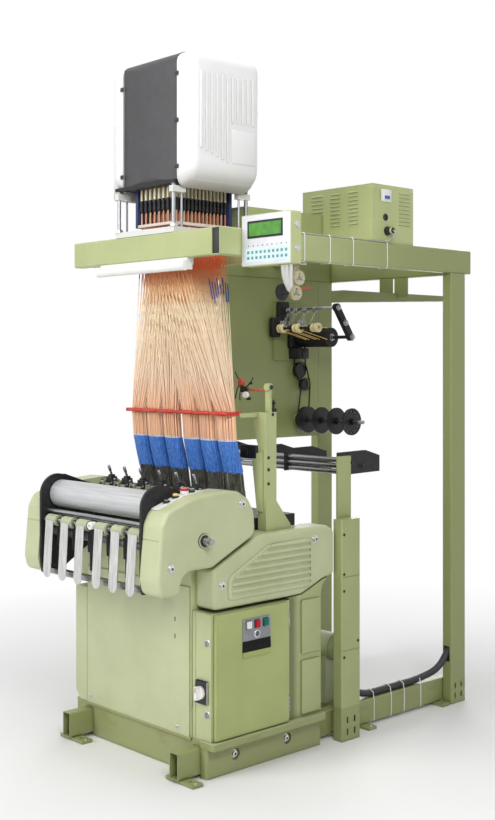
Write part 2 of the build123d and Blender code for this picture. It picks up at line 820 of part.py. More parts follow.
hook_plate = block(hook_x[0], hook_x[1], hook_y[0], hook_y[1], hook_plate_z[0],
                   hook_plate_z[1])
save("hook_block", [hook_plate + hooks(), hook_slab(hook_x[0] - slab_thickness - 2),
                    hook_slab(hook_x[1] + 2)])

# Posts that carry the head on the front beam and the head beam
post_x = (head_x - 200.0, head_x + 152.0)
post_y = (front_beam_y + 10, head_beam_back_y - 14)
thin_step = 40.0
thick_radius = 8.0
thin_radius = 4.5
foot_bar = 22.0
base_plate_z = (head_bottom_z - 14, head_bottom_z - seat_gap)
clamp_z = (base_plate_z[0] - 34, base_plate_z[0] - 10)


def head_posts():
    """Two side frames of posts and rails, joined by the bar along the front."""
    frame = block(post_x[0] + 11, post_x[1] - 11, post_y[0] - 9, post_y[0] + 9,
                  beam_top_z, beam_top_z + foot_bar)
    for x in post_x:
        frame += block(x - 11, x + 11, post_y[0] - 9, post_y[1] + 9, beam_top_z,
                       beam_top_z + foot_bar)
        for y, step in ((post_y[0], thin_step), (post_y[1], -thin_step)):
            frame += rod_z(beam_top_z + foot_bar, base_plate_z[0], x, y, thick_radius)
            frame += rod_z(beam_top_z + foot_bar, base_plate_z[0], x, y + step,
                           thin_radius)
            frame += block(x - 12, x + 12, min(y, y + step) - 13,
                           max(y, y + step) + 13, clamp_z[0], clamp_z[1])
    return frame


save("head_posts", [head_posts()])
head_outer = (head_x - head_half_width - head_cover_width,
              head_x + head_half_width + head_cover_width)
base_plate = block(post_x[0] - 16, post_x[1] + 16, head_front_y - 4, head_back_y + 4,
                   base_plate_z[0], base_plate_z[1])
slab_clearance = slab_thickness + 2 + seat_gap
base_plate -= block(hook_x[0] - slab_clearance, hook_x[1] + slab_clearance,
                    hook_y[0] - seat_gap, hook_y[1] + seat_gap, base_plate_z[0] - 1,
                    base_plate_z[1] + 1)
save("head_base", [base_plate])

# Jacquard head: dark middle and two moulded covers with pressed ribs
head_top_z = head_bottom_z + head_height
head_depth = head_back_y - head_front_y
head_corner = 0.14 * head_depth
cover_margin = 10.0
rib_count = 11
rib_pitch = (head_depth - 110) / (rib_count - 1)
badge_field = (0.42, 0.30)


def rounded_box_x(x0, x1, y0, y1, z0, z1, radius):
    """A block along X with four rounded corners."""
    corners = ((y0, z0), (y1, z0), (y1, z1), (y0, z1))
    return round_plate_x(corners, x0, x1, radius)


def head_centre():
    x0, x1 = head_x - head_half_width, head_x + head_half_width
    body = rounded_box_x(x0, x1, head_front_y, head_back_y, head_bottom_z - 30,
                         head_top_z, head_corner)
    bow = Pos(head_x, head_front_y + 8 * head_half_width,
              (head_bottom_z + head_top_z) / 2)
    body &= bow * Cylinder(8 * head_half_width, 2 * head_height)
    return body & block(x0, x1, head_front_y, head_back_y, head_bottom_z, head_top_z)


def head_cover():
    """Moulded cover with a sloped underside, flutes and a bare raised field."""
    x0 = head_x + head_half_width
    x1 = head_outer[1]
    low_z = head_bottom_z - 34
    shell = rounded_box_x(x0, x1, head_front_y + 4, head_back_y - 2, low_z,
                          head_top_z - 4, head_corner)
    outer = shell.faces().sort_by(Axis.X)[-1]
    shell = fillet(outer.edges(), 20)
    slope = ((x0 - 1, low_z), (x0 + 20, low_z), (x1 + 1, low_z + 66),
             (x1 + 1, head_top_z), (x0 - 1, head_top_z))
    shell &= plate_y(slope, head_front_y - 1, head_back_y + 1)
    field_y = head_back_y - cover_margin - badge_field[0] * head_depth
    field_z = low_z + 92 + badge_field[1] * head_height
    for index in range(rib_count):
        y = head_front_y + 55 + index * rib_pitch
        bottom = low_z + 150 - index * 9
        if y > field_y - 8:
            bottom = field_z + 22
        shell -= rod_z(bottom, head_top_z - 74, x1 + 4, y, 7.5)
    field = block(x1 - 4, x1 + 2.5, field_y, head_back_y - 34, low_z + 92, field_z)
    return shell + fillet(field.edges().filter_by(Axis.X), 12)


def left_head_cover():
    """The same cover mirrored, cut back round the posts, with a box on its side."""
    x0 = head_x - head_half_width
    x1 = head_outer[0]
    cover = Pos(2 * head_x, 0, 0) * mirrored(head_cover())
    cover -= block(post_x[0] - 19, x0 + 1, head_front_y - 6, head_back_y + 6,
                   head_bottom_z - 40, head_bottom_z)
    side = block(x1 - 5, x1 + 28, head_front_y + 22, head_back_y - 60,
                 head_bottom_z - 46, head_bottom_z + 0.55 * head_height)
    return cover + fillet(side.edges().filter_by(Axis.X), 14)


save("head_centre", [head_centre()])
save("head_cover_right", [head_cover()])
save("head_cover_left", [left_head_cover()])

# Harness: one fan of cords that parts into six legs, then sleeves and heddles.
# Each level gives the front and the back of the bundles and the width of one.
fan_top_z = hook_plate_z[0]
leg_levels = {
    red_bar_z: (196.0, 244.0, 72.0),
    sleeve_top_z: (202.0, 254.0, 66.0),
    sleeve_bottom_z: (234.0, 288.0, 64.0),
    bed_top_z: (262.0, 312.0, 56.0),
}


def slab(x0, x1, y0, y1, z):
    """Four corners of a level rectangle."""
    return [Vector(x0, y0, z), Vector(x1, y0, z), Vector(x1, y1, z), Vector(x0, y1, z)]


def frustum(low, high):
    """A solid with flat sides between two level rectangles."""
    rings = [low[::-1], high]
    for index in range(4):
        after = (index + 1) % 4
        rings.append([low[index], low[after], high[after], high[index]])
    faces = [Face(Wire.make_polygon(ring, close=True)) for ring in rings]
    return Solid(Shell(faces))


def fan_slab(z):
    """The undivided fan at one height, on its way from the hooks to the red bar."""
    front, back, width = leg_levels[red_bar_z]
    share = (fan_top_z - z) / (fan_top_z - red_bar_z)
    left = hook_x[0] + (tape_x[0] - width / 2 - hook_x[0]) * share
    right = hook_x[1] + (tape_x[-1] + width / 2 - hook_x[1]) * share
    return (left, right, hook_y[0] + (front - hook_y[0]) * share,
            hook_y[1] + (back - hook_y[1]) * share)


def leg_slab(index, z):
    """One bundle at one height."""
    if z in leg_levels:
        front, back, width = leg_levels[z]
        return slab(tape_x[index] - width / 2, tape_x[index] + width / 2, front, back, z)
    left, right, front, back = fan_slab(z)
    pitch = (right - left) / len(tape_x)
    return slab(left + index * pitch + seat_gap, left + (index + 1) * pitch - seat_gap,
                front, back, z)


def bundle(index, *levels):
    legs = [frustum(leg_slab(index, low), leg_slab(index, high))
            for high, low in zip(levels, levels[1:])]
    body = legs[0]
    for leg in legs[1:]:
        body += leg
    return body


def harness_cords():
    left, right, front, back = fan_slab(fan_split_z)
    cords = frustum(slab(left, right, front, back, fan_split_z),
                    slab(hook_x[0], hook_x[1], hook_y[0], hook_y[1], fan_top_z))
    for index in range(len(tape_x)):
        cords += bundle(index, fan_split_z, red_bar_z, sleeve_top_z)
    return cords


bundles = range(len(tape_x))
save("harness_cords", [harness_cords()])
save("harness_sleeves", [bundle(index, sleeve_top_z, sleeve_bottom_z)
                         for index in bundles])
save("heddles", [bundle(index, sleeve_bottom_z, bed_top_z) for index in bundles])

# Red separating bars round the bundles, held by the arm on the right
red_radius = 5.0
red_x = (tape_x[0] - 46, tape_x[-1] + 48)
red_y = (leg_levels[red_bar_z][0] - red_radius - 1.5,
         leg_levels[red_bar_z][1] + red_radius + 1.5)


def red_bars():
    frame = rod_x(red_x[0], red_x[1], red_y[0], red_bar_z, red_radius)
    frame += rod_x(red_x[0], red_x[1], red_y[1], red_bar_z, red_radius)
    for x in red_x:
        frame += block(x - 4, x + 4, red_y[0] - 8, red_y[1] + 8, red_bar_z - 7,
                       red_bar_z + 7)
    return frame


save("red_bars", [red_bars()])
harness_arm_x = (red_x[1] + 12, body_half_width + 60)
harness_arm_y = (335.0, 392.0)
harness_arm_top_z = red_bar_z + 4
finger_top_z = harness_arm_top_z + 98
side_cover_top_z = side_cover_outline[3][1]


def harness_arm():
    """Column on the side cover, with an arm to the red bars and a slim finger."""
    x0, x1 = harness_arm_x
    y0, y1 = harness_arm_y
    front = ((x0 - 24, harness_arm_top_z), (x1, harness_arm_top_z),
             (x1, side_cover_top_z), (x0 + 2, side_cover_top_z),
             (x0 + 2, harness_arm_top_z - 130), (x0 - 24, harness_arm_top_z - 60))
    column = plate_y(front, y0, y0 + 10)
    column += block(x1 - 12, x1, y0 + 9, y1, side_cover_top_z, harness_arm_top_z)
    column += block(x1 - 26, x1, y0 + 20, y0 + 32, harness_arm_top_z, finger_top_z)
    column += rod_y(y0 + 14, y0 + 38, x1 - 13, finger_top_z, 15)
    column += block(red_x[1] + 4, x0, red_y[1] - 8, y0 + 4, harness_arm_top_z - 20,
                    harness_arm_top_z - 2)
    column += rod_x(x0 - 90, x1 - 26, y0 + 26, finger_top_z - 12, 4)
    lower = ((x0 - 26, 1180.0), (x0 + 34, 1196.0), (x0 + 34, 960.0), (x0 + 4, 960.0))
    column += plate_y(lower, y0 - 8, y0)
    gusset = ((y1, side_cover_top_z), (y1 + 82, side_cover_top_z),
              (y1 + 82, side_cover_top_z + 16), (y1, side_cover_top_z + 120))
    return column + plate_x(gusset, x1 - 12, x1 - 4)


save("harness_arm", [harness_arm()])

# Cable duct and power box on the gantry
duct_x = (45.0, 140.0)
box_x = (20.0, 430.0)
box_y = (920.0, 1190.0)
box_height = 248.0
duct_height = 137.0
box_top_z = beam_top_z + box_height
save("cable_duct", [block(duct_x[0], duct_x[1], head_beam_back_y, box_y[0],
                          beam_top_z, beam_top_z + duct_height)])
louvre_columns = ((75.0, 145.0), (190.0, 245.0), (295.0, 350.0))
louvre_count = 9
louvre_pitch = 17.0
side_louvre_y = (box_y[1] - 95, box_y[1] - 25)
rocker_y = (box_y[0] + 50, box_y[0] + 120)


def louvre_z(row):
    """Height of one row of louvres."""
    return box_top_z - 30 - row * louvre_pitch


def power_box():
    """Louvred steel box with a rocker switch and a socket on its right side."""
    body = block(box_x[0], box_x[1], box_y[0], box_y[1], beam_top_z, box_top_z)
    for row in range(louvre_count):
        z = louvre_z(row)
        for x0, x1 in louvre_columns:
            if x0 < duct_x[1] and z < beam_top_z + duct_height + 4:
                continue
            body += plate_x(((box_y[0] + 1, z), (box_y[0] + 1, z + 8),
                             (box_y[0] - 4, z)), x0, x1)
        outer = ((box_x[1] - 1, z + 8), (box_x[1] - 1, z), (box_x[1] + 4, z))
        body += plate_y(outer, side_louvre_y[0], side_louvre_y[1])
    body += block(box_x[1] - 1, box_x[1] + 5, rocker_y[0], rocker_y[1], box_top_z - 71,
                  box_top_z - 21)
    body -= rod_x(box_x[1] - 12, box_x[1] + 1, rocker_y[0] + 35, box_top_z - 138, 13)
    body += rod_x(box_x[1] - 1, box_x[1] + 34, rocker_y[0] + 45, box_top_z - 196, 15)
    return body


save("power_box", [power_box()])

# Display unit beside the front beam, its screen window and its two side knobs
knob_reach = 8.0
display_x = (frame_half_width, extent_x[1] - knob_reach)
display_y = (163.0, 215.0)
display_z = (1905.0, 2097.0)


def display_box():
    x0, x1 = display_x
    body = block(x0, x1, display_y[0], display_y[1], display_z[0], display_z[1])
    body = fillet(body.edges().filter_by(Axis.Y), 5)
    body -= block(x0 + 34, x1 - 44, display_y[0] - 1, display_y[0] + 3,
                  display_z[1] - 84, display_z[1] - 36)
    for z in (display_z[0] + 55, display_z[1] - 50):
        body += rod_x(x1 - 1, x1 + knob_reach, display_y[0] + 30, z, 9)
    return body


save("display_box", [display_box()])
lamp_x = (-312.0, 246.0)
lamp_radius = 17.0
lamp_y = front_beam_y - 7
lamp_z = beam_bottom_z - 33


def lamp():
    """Fluorescent lamp: a channel under the front beam with its tube before it."""
    channel = block(lamp_x[0], lamp_x[1], front_beam_y + 1, front_beam_y + 36,
                    beam_bottom_z - 26, beam_bottom_z)
    light = rod_x(lamp_x[0] + 4, lamp_x[1] - 4, lamp_y, lamp_z, lamp_radius)
    for x0 in (lamp_x[0], lamp_x[1] - 14):
        light += block(x0, x0 + 14, lamp_y - 6, front_beam_y + 30, lamp_z - 12,
                       beam_bottom_z - 10)
    return channel + light


save("lamp", [lamp()])

# Side plate on the left, which carries the yarn feeder
side_plate_x = (-frame_inner_x - 8.0, -frame_inner_x)
side_plate_y = (800.0, rear_post_y)
side_plate_bottom_z = 1177.0
plate_face_x = side_plate_x[1]
save("left_side_plate", [block(side_plate_x[0], side_plate_x[1], side_plate_y[0],
                               side_plate_y[1], side_plate_bottom_z, beam_bottom_z)])

# Feed discs on their shaft
disc_y = 1303.0
disc_z = 1263.0
disc_radius = 64.0
disc_x = (-327.0, -229.0, -131.0, -33.0)
disc_thickness = 8.0
disc_holes = 12
hub_radius = 15.0
feed_shaft_radius = 8.0
bearing_length = 24.0
bearing_radius = 30.0


def feed_discs():
    """Four discs on one shaft; the free end disc shows its ring of holes."""
    body = rod_x(plate_face_x + 2 + seat_gap, disc_x[-1] + 12, disc_y, disc_z,
                 feed_shaft_radius)
    for x in disc_x:
        thickness = disc_thickness * (3 if x == disc_x[0] else 1)
        body += rod_x(x - thickness / 2, x + thickness / 2, disc_y, disc_z,
                      disc_radius)
        body += rod_x(x - 18, x + 18, disc_y, disc_z, hub_radius)
    for index in range(disc_holes):
        angle = 2 * math.pi * index / disc_holes
        body -= rod_x(disc_x[-1] - 10, disc_x[-1] + 10,
                      disc_y + 50 * math.cos(angle), disc_z + 50 * math.sin(angle), 5)
    return body


save("feed_discs", [feed_discs()])

# Feed roller with its bearing plate, guide rod and link arm
feed_roller_y = 1287.0
feed_roller_z = 1663.0
feed_roller_radius = 46.0
feed_roller_x = (plate_face_x + 46.0, -146.0)
link_x = (-38.0, -16.0)
link_top = (1192.0, 1800.0)
link_radius = 18.0
guide_bar = (1136.0, 1706.0)
guide_block_x = (-360.0, -250.0, -130.0)
pulleys = ((1290.0, 1506.0, 36.0), (1322.0, 1436.0, 27.0))


def bearing(y, z, radius, bore):
    body = rod_x(plate_face_x, plate_face_x + bearing_length, y, z, radius)
    return body - rod_x(plate_face_x + 2, plate_face_x + bearing_length + 1, y, z,
                        bore + pin_clearance)


feed_roller = rod_x(feed_roller_x[0], feed_roller_x[1], feed_roller_y, feed_roller_z,
                    feed_roller_radius)
feed_roller += rod_x(plate_face_x + 2 + seat_gap, link_x[1] - 4, feed_roller_y,
                     feed_roller_z, feed_shaft_radius)
save("feed_roller", [feed_roller])


def link_arm():
    """Two-part link between the guide rod and the free end of the roller shaft."""
    y0, z0 = link_top
    y1, z1 = feed_roller_y, feed_roller_z
    length = math.dist(link_top, (y1, z1))
    bar = block(link_x[0], link_x[1], -15, 15, 0, length)
    lean = math.degrees(math.atan2(y0 - y1, z0 - z1))
    arm = Pos(0, y1, z1) * (Rot(-lean, 0, 0) * bar)
    arm += rod_x(link_x[0], link_x[1], y0, z0, link_radius)
    arm += rod_x(link_x[0], link_x[1], y1, z1, link_radius)
    return arm - rod_x(link_x[0] - 1, link_x[1] - 4 + seat_gap, y1, z1,
                       feed_shaft_radius + pin_clearance)


def feeder_frame():
    """Bearings, rods, guide blocks, link arm and belt pulleys on the side plate."""
    upper = bearing(feed_roller_y, feed_roller_z, bearing_radius + 6, feed_shaft_radius)
    upper += block(plate_face_x, plate_face_x + 10, link_top[0] - 60,
                   feed_roller_y + 40, feed_roller_z - 110, link_top[1] + 30)
    upper -= rod_x(plate_face_x + 2, plate_face_x + bearing_length + 1, feed_roller_y,
                   feed_roller_z, feed_shaft_radius + pin_clearance)
    upper += rod_x(plate_face_x + 9, link_x[0] + 1, link_top[0], link_top[1], 6)
    upper += link_arm()
    upper += rod_x(plate_face_x + 9, guide_block_x[-1] + 30, guide_bar[0],
                   guide_bar[1], 6)
    for x in guide_block_x:
        upper += rod_x(x - 14, x + 22, guide_bar[0], guide_bar[1], 17)
    pieces = [upper, bearing(disc_y, disc_z, bearing_radius, feed_shaft_radius)]
    for y, z, radius in pulleys:
        pieces.append(rod_x(plate_face_x, plate_face_x + 30, y, z, radius))
    return pieces


save("feeder_frame", feeder_frame())

# Cream guide discs under the right side beam
guide_disc_x = frame_inner_x - 12
guide_disc_places = ((525.0, 1884.0), (508.0, 1823.0))
guide_disc_radius = 30.0


def guide_discs():
    """Bracket with two cream discs, three holes in each."""
    top_y = guide_disc_places[0][0]
    low_z = guide_disc_places[1][1]
    body = block(guide_disc_x - 6, guide_disc_x, top_y - 22, top_y + 10, low_z - 8,
                 beam_bottom_z - 14)
    body += block(guide_disc_x - 6, frame_inner_x + 30, top_y - 22, top_y + 10,
                  beam_bottom_z - 14, beam_bottom_z)
    for y, z in guide_disc_places:
        disc = rod_x(guide_disc_x, guide_disc_x + 12, y, z, guide_disc_radius)
        for index in range(3):
            angle = math.radians(90 + index * 120)
            disc -= rod_x(guide_disc_x - 1, guide_disc_x + 13,
                          y + 15 * math.cos(angle), z + 15 * math.sin(angle), 4.5)
        body += disc
    return body


save("guide_discs", [guide_discs()])
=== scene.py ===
import math
import random

import bpy
from mathutils import Matrix, Vector


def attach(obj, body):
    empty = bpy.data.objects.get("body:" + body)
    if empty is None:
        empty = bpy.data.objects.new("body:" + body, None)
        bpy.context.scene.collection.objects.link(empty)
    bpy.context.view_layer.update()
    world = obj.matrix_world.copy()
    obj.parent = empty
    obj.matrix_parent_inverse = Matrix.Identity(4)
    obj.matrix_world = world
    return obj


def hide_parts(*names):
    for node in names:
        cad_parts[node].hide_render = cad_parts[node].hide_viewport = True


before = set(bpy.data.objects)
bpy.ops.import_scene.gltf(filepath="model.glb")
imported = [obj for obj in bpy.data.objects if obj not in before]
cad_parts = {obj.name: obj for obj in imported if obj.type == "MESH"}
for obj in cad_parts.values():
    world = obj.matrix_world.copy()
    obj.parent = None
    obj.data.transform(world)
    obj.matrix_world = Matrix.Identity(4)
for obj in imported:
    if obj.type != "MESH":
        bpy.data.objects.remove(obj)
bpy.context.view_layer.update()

# Camera: the loom is seen from its right front corner by a level camera at eye height,
# as a standing photographer would hold it.
camera_data = bpy.data.cameras.new("camera")
camera_data.sensor_width = 36.0
camera_data.lens = 52.32
camera_data.shift_y = -0.0598
camera_data.clip_end = 100.0
camera = bpy.data.objects.new("camera", camera_data)
camera.location = (3.6475, -3.736, 1.55)
camera.rotation_euler = (math.radians(90), 0.0, math.radians(47.1))
bpy.context.collection.objects.link(camera)
bpy.context.scene.camera = camera


class Shade:
    """A value inside a material: arithmetic on it adds the Math nodes."""

    def __init__(self, tree, socket=None):
        self.tree = tree
        self.socket = socket

    def node(self, kind, settings, inputs, out=0):
        """Adds one node with its settings first, then the values or links."""
        new = self.tree.nodes.new(kind)
        for name, value in settings.items():
            if name == "stops":
                ramp = new.color_ramp.elements
                while len(ramp) < len(value):
                    ramp.new(0.5)
                for element, (place, shade) in zip(ramp, value):
                    element.position = place
                    element.color = (*shade, 1.0)
            else:
                setattr(new, name, value)
        for name, value in inputs.items():
            if isinstance(value, Shade):
                self.tree.links.new(value.socket, new.inputs[name])
            elif isinstance(value, tuple) and new.inputs[name].type == "RGBA":
                new.inputs[name].default_value = (*value, 1.0)
            else:
                new.inputs[name].default_value = value
        return Shade(self.tree, new.outputs[out])

    def maths(self, operation, first, second, clamp=False):
        settings = {"operation": operation, "use_clamp": clamp}
        return self.node("ShaderNodeMath", settings, {0: first, 1: second})

    def __add__(self, other):
        return self.maths("ADD", self, other)

    def __sub__(self, other):
        return self.maths("SUBTRACT", self, other)

    def __rsub__(self, other):
        return self.maths("SUBTRACT", other, self)

    def __mul__(self, other):
        return self.maths("MULTIPLY", self, other)

    def above(self, limit):
        return self.maths("GREATER_THAN", self, limit)

    def between(self, low, high):
        """1 where this value lies between two limits, else 0."""
        return self.above(low) * (1 - self.above(high))

    def mix(self, first, second):
        """Colour between two colours, by this value from 0 to 1."""
        return self.node("ShaderNodeMix", {"data_type": "RGBA", "clamp_factor": True},
                         {0: self, 6: first, 7: second}, out=2)

    def seen(self):
        return self.node("ShaderNodeTexCoord", {}, {}, out="Object")

    def along(self, axis):
        """Drawing coordinate of the surface along one axis, in millimetres."""
        metres = self.node("ShaderNodeSeparateXYZ", {}, {0: self.seen()}, out=axis)
        return metres * 1000.0 + (105.5, 850.0, 0.0)[axis]

    def noise(self, scale, detail=3.0, stretch=(1.0, 1.0, 1.0), rough=0.55):
        spread = self.node("ShaderNodeMapping", {}, {"Vector": self.seen(), "Scale": stretch})
        return self.node("ShaderNodeTexNoise", {},
                         {"Vector": spread, "Scale": scale, "Detail": detail,
                          "Roughness": rough}, out="Fac")

    def spread(self, low, high, new_low=0.0, new_high=1.0):
        """This value, with low to high spread over new_low to new_high."""
        return self.node("ShaderNodeMapRange", {"clamp": True},
                         {"Value": self, "From Min": low, "From Max": high,
                          "To Min": new_low, "To Max": new_high})

    def crevice(self, reach):
        """1 in a narrow corner and 0 on an open face, within reach millimetres."""
        open_share = self.node("ShaderNodeAmbientOcclusion", {"samples": 6},
                               {"Distance": reach / 1000}, out="AO")
        return 1 - open_share

    def bump(self, strength, distance, edge=0.0):
        """A bump of this depth, over edges that shade as if rounded by edge mm."""
        values = {"Strength": strength, "Distance": distance, "Height": self}
        if edge:
            values["Normal"] = self.node("ShaderNodeBevel", {"samples": 4},
                                         {"Radius": edge / 1000}, out="Normal")
        return self.node("ShaderNodeBump", {}, values)


# Studio floor and lamps: a plain pale floor that fades to white away from the loom, a
# broad soft lamp from the front, weaker ones from the sides, the top and behind.
def lamp(name, place, size, power):
    """A large square lamp that points at the middle of the loom."""
    data = bpy.data.lights.new(name, "AREA")
    data.shape = "SQUARE"
    data.size = size
    data.energy = power
    made = bpy.data.objects.new(name, data)
    made.location = place
    direction = Vector((0.0, 0.0, 1.3)) - Vector(place)
    made.rotation_euler = direction.to_track_quat("-Z", "Y").to_euler()
    bpy.context.collection.objects.link(made)


def white_rays(tree):
    """1 for the rays that see the background: camera, glossy and transmission."""
    path = tree.nodes.new("ShaderNodeLightPath")
    camera_ray, glossy, through = (Shade(tree, path.outputs[name]) for name in (
        "Is Camera Ray", "Is Glossy Ray", "Is Transmission Ray"))
    return (camera_ray + glossy).maths("ADD", camera_ray + glossy, through, True)


def empty_tree(owner):
    """The node tree of a material or world, cleared."""
    owner.use_nodes = True
    owner.node_tree.nodes.clear()
    return owner.node_tree


def blended(tree, share, first, second, kind):
    """Mixes two shaders by a share and leads them to an output of this kind."""
    blend = tree.nodes.new("ShaderNodeMixShader")
    output = tree.nodes.new(kind)
    tree.links.new(share.socket, blend.inputs[0])
    tree.links.new(first.outputs[0], blend.inputs[1])
    tree.links.new(second.outputs[0], blend.inputs[2])
    tree.links.new(blend.outputs[0], output.inputs[0])


def studio_floor(radius, fade_start, fade_end):
    bpy.ops.object.select_all(action="DESELECT")
    bpy.ops.mesh.primitive_circle_add(vertices=96, radius=radius, fill_type="NGON",
                                      location=(0.0, 0.0, -0.001))
    floor = bpy.context.object
    floor.name = "studio_floor"
    made = bpy.data.materials.new("pale_floor")
    tree = empty_tree(made)
    start = Shade(tree)
    shader = tree.nodes.new("ShaderNodeBsdfPrincipled")
    tone = start.noise(2.0).mix((0.86, 0.86, 0.855), (0.9, 0.9, 0.895))
    tree.links.new(tone.socket, shader.inputs["Base Color"])
    shader.inputs["Roughness"].default_value = 0.7
    glow = tree.nodes.new("ShaderNodeEmission")
    distance = start.node("ShaderNodeVectorMath", {"operation": "LENGTH"},
                          {0: start.seen()}, out="Value")
    blended(tree, distance.spread(fade_start, fade_end) * white_rays(tree), shader, glow,
            "ShaderNodeOutputMaterial")
    floor.data.materials.append(made)


def white_room(soft_colour, strength):
    """A world that lights softly and shows as white behind the loom."""
    world = bpy.data.worlds.new("white_room")
    bpy.context.scene.world = world
    tree = empty_tree(world)
    soft, white = (tree.nodes.new("ShaderNodeBackground") for _ in range(2))
    soft.inputs["Color"].default_value = (*soft_colour, 1.0)
    soft.inputs["Strength"].default_value = strength
    white.inputs["Color"].default_value = (1.0, 1.0, 1.0, 1.0)
    blended(tree, white_rays(tree), soft, white, "ShaderNodeOutputWorld")


bpy.context.scene.view_settings.view_transform = "Standard"
lamp("front_lamp", (-1.1, -6.0, 3.6), 3.0, 190.0)
lamp("right_lamp", (3.4, -2.4, 3.5), 1.6, 95.0)
lamp("top_lamp", (0.2, -0.6, 6.0), 3.0, 88.0)
lamp("back_lamp", (-3.6, 5.0, 3.0), 3.4, 120.0)
white_room(soft_colour=(0.95, 0.97, 1.0), strength=0.23)
studio_floor(radius=16.0, fade_start=1.0, fade_end=3.3)


# Gantry, body and covers: welded steel tube, sheet and cast covers, all sprayed in one
# sage green enamel with a fine orange-peel surface and a little dust low down. Painted
# shade darkens the enamel in its seams, far back, at the foot, in the strip by the legs
# and on the door.
def tint(red, green, blue):
    """A colour of the paint chart, 0 to 255, as a shader takes it."""
    return tuple((c / 255 / 12.92) if c <= 10 else ((c / 255 + 0.055) / 1.055) ** 2.4
                 for c in (red, green, blue))


def finish_of(name, base, roughness, metallic=0.0, bump=None, fixed=()):
    """A Principled material whose colour, roughness and bump come from nodes."""
    made = bpy.data.materials.new(name)
    tree = empty_tree(made)
    start = Shade(tree)
    shader = tree.nodes.new("ShaderNodeBsdfPrincipled")
    output = tree.nodes.new("ShaderNodeOutputMaterial")
    tree.links.new(shader.outputs[0], output.inputs[0])
    for socket, value in fixed:
        shader.inputs[socket].default_value = value
    varying = {"Base Color": base, "Roughness": roughness, "Metallic": metallic, "Normal": bump}
    for socket, value in varying.items():
        if callable(value):
            tree.links.new(value(start).socket, shader.inputs[socket])
        elif value is not None:
            shader.inputs[socket].default_value = value
    return made


def dress(material, *nodes):
    """A CAD node keeps its shape and takes this material."""
    for node in nodes:
        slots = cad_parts[node].data.materials
        slots.clear()
        slots.append(material)


def mottled(dark, light, scale=6.0):
    """Cloudy colour between two colours."""
    return lambda s: s.noise(scale, 4.0).spread(0.3, 0.7).mix(dark, light)


def grained(scale, smooth, rough):
    """Roughness that varies in grains between two values."""
    return lambda s: s.noise(scale).spread(0.3, 0.7, smooth, rough)


def coat(name, dark, light, cloud, grain, **more):
    """A finish clouded between two chart colours, with (scale, smooth, rough) grains."""
    return finish_of(name, mottled(tint(*dark), tint(*light), cloud), grained(*grain), **more)


def enamel(name, dark, light, painted_shade=None, channel=False):
    """Sprayed enamel: dusty low down, with painted shade in its corners and joins.

    If asked, painted shade darkens it far back and at the foot, and a channel of painted
    shade stands for the recess between the cabinet and the leg fields."""
    def colour(s):
        coat = mottled(dark, light)(s)
        if painted_shade:
            # Painted shade: the enamel darkens far back and at the foot.
            coat = s.along(1).spread(340.0, 1150.0).mix(coat, painted_shade)
            coat = s.along(2).above(137.0).mix(painted_shade, coat)
            rubbed = s.noise(7.0, 5.0, (1, 1, 2)).spread(0.5, 0.7, 0.0, 0.5)
            rubbed = rubbed * s.along(2).between(70.0, 128.0)
            coat = rubbed.mix(coat, tint(132, 106, 76))
        if channel:
            # Painted shade: the strip beside the cabinet is darkened as if it lay in a recess.
            channel_shade = s.along(1).spread(440.0, 474.0, 0.85, 0.0)
            coat = channel_shade.mix(coat, tint(96, 104, 62))
        dust = s.noise(9.0, 5.0).spread(0.42, 0.75)
        low = s.along(2).spread(10.0, 260.0, 1.0, 0.0)
        dusty = (dust * low * 0.45).mix(coat, tint(150, 146, 118))
        # Painted shade: the enamel darkens in narrow seams and corners.
        return s.crevice(22.0).spread(0.15, 0.9, 0.0, 0.75).mix(dusty, tint(84, 88, 52))

    return finish_of(name, colour, grained(30.0, 0.34, 0.44),
                     bump=lambda s: s.noise(420.0, 2.0).bump(0.1, 0.0004, 2.5))


frame_enamel = enamel("frame_enamel", tint(174, 182, 128), tint(183, 191, 138),
                      tint(148, 156, 101))
dress(frame_enamel, "front_beam", "cross_beams", "side_beam_left", "side_beam_right",
      "rear_post_left", "rear_post_right", "floor_rails", "mid_columns",
      "arm_plates", "left_side_plate", "cable_duct", "harness_arm", "yarn_arm")
leg_enamel = enamel("leg_enamel", tint(170, 178, 126), tint(179, 187, 136),
                    tint(148, 156, 101), channel=True)
dress(leg_enamel, "side_legs")
cover_enamel = enamel("cover_enamel", tint(187, 193, 151), tint(196, 202, 162))
dress(cover_enamel, "front_panel", "left_housing", "end_cover_left", "end_cover_right",
      "side_cover_left", "side_cover_right")
base_enamel = enamel("base_enamel", tint(184, 191, 143), tint(192, 199, 152),
                     tint(150, 156, 104))
dress(base_enamel, "machine_base", "control_cabinet")
sage_enamel = enamel("sage_enamel", tint(181, 189, 131), tint(190, 198, 141))
dress(sage_enamel, "power_box")
# Painted shade: the door takes a darker copy of the sage enamel for its side facing away from the
# front lamp.
dress(enamel("door_enamel_shaded", tint(165, 174, 110), tint(173, 182, 118)), "cabinet_door")
worn_enamel = enamel("worn_enamel", tint(160, 168, 132), tint(184, 190, 158))
dress(worn_enamel, "drive_motor", "tape_rings")


# Fixing screws: zinc or black socket screws on washers hold the covers, the front
# panel, the columns and the arm plates; each has a dark hexagon socket.
def at(x, y, z):
    """Metres of the frame for a place in the drawing's millimetres."""
    return Vector(((x - 105.5) / 1000, (y - 850.0) / 1000, z / 1000))


def clear_selection():
    bpy.ops.object.select_all(action="DESELECT")


def apply_all(piece):
    """The active piece's modifiers and placing go into its mesh."""
    for modifier in list(piece.modifiers):
        bpy.ops.object.modifier_apply(modifier=modifier.name)
    bpy.ops.object.transform_apply(location=True, rotation=True, scale=True)
    return piece


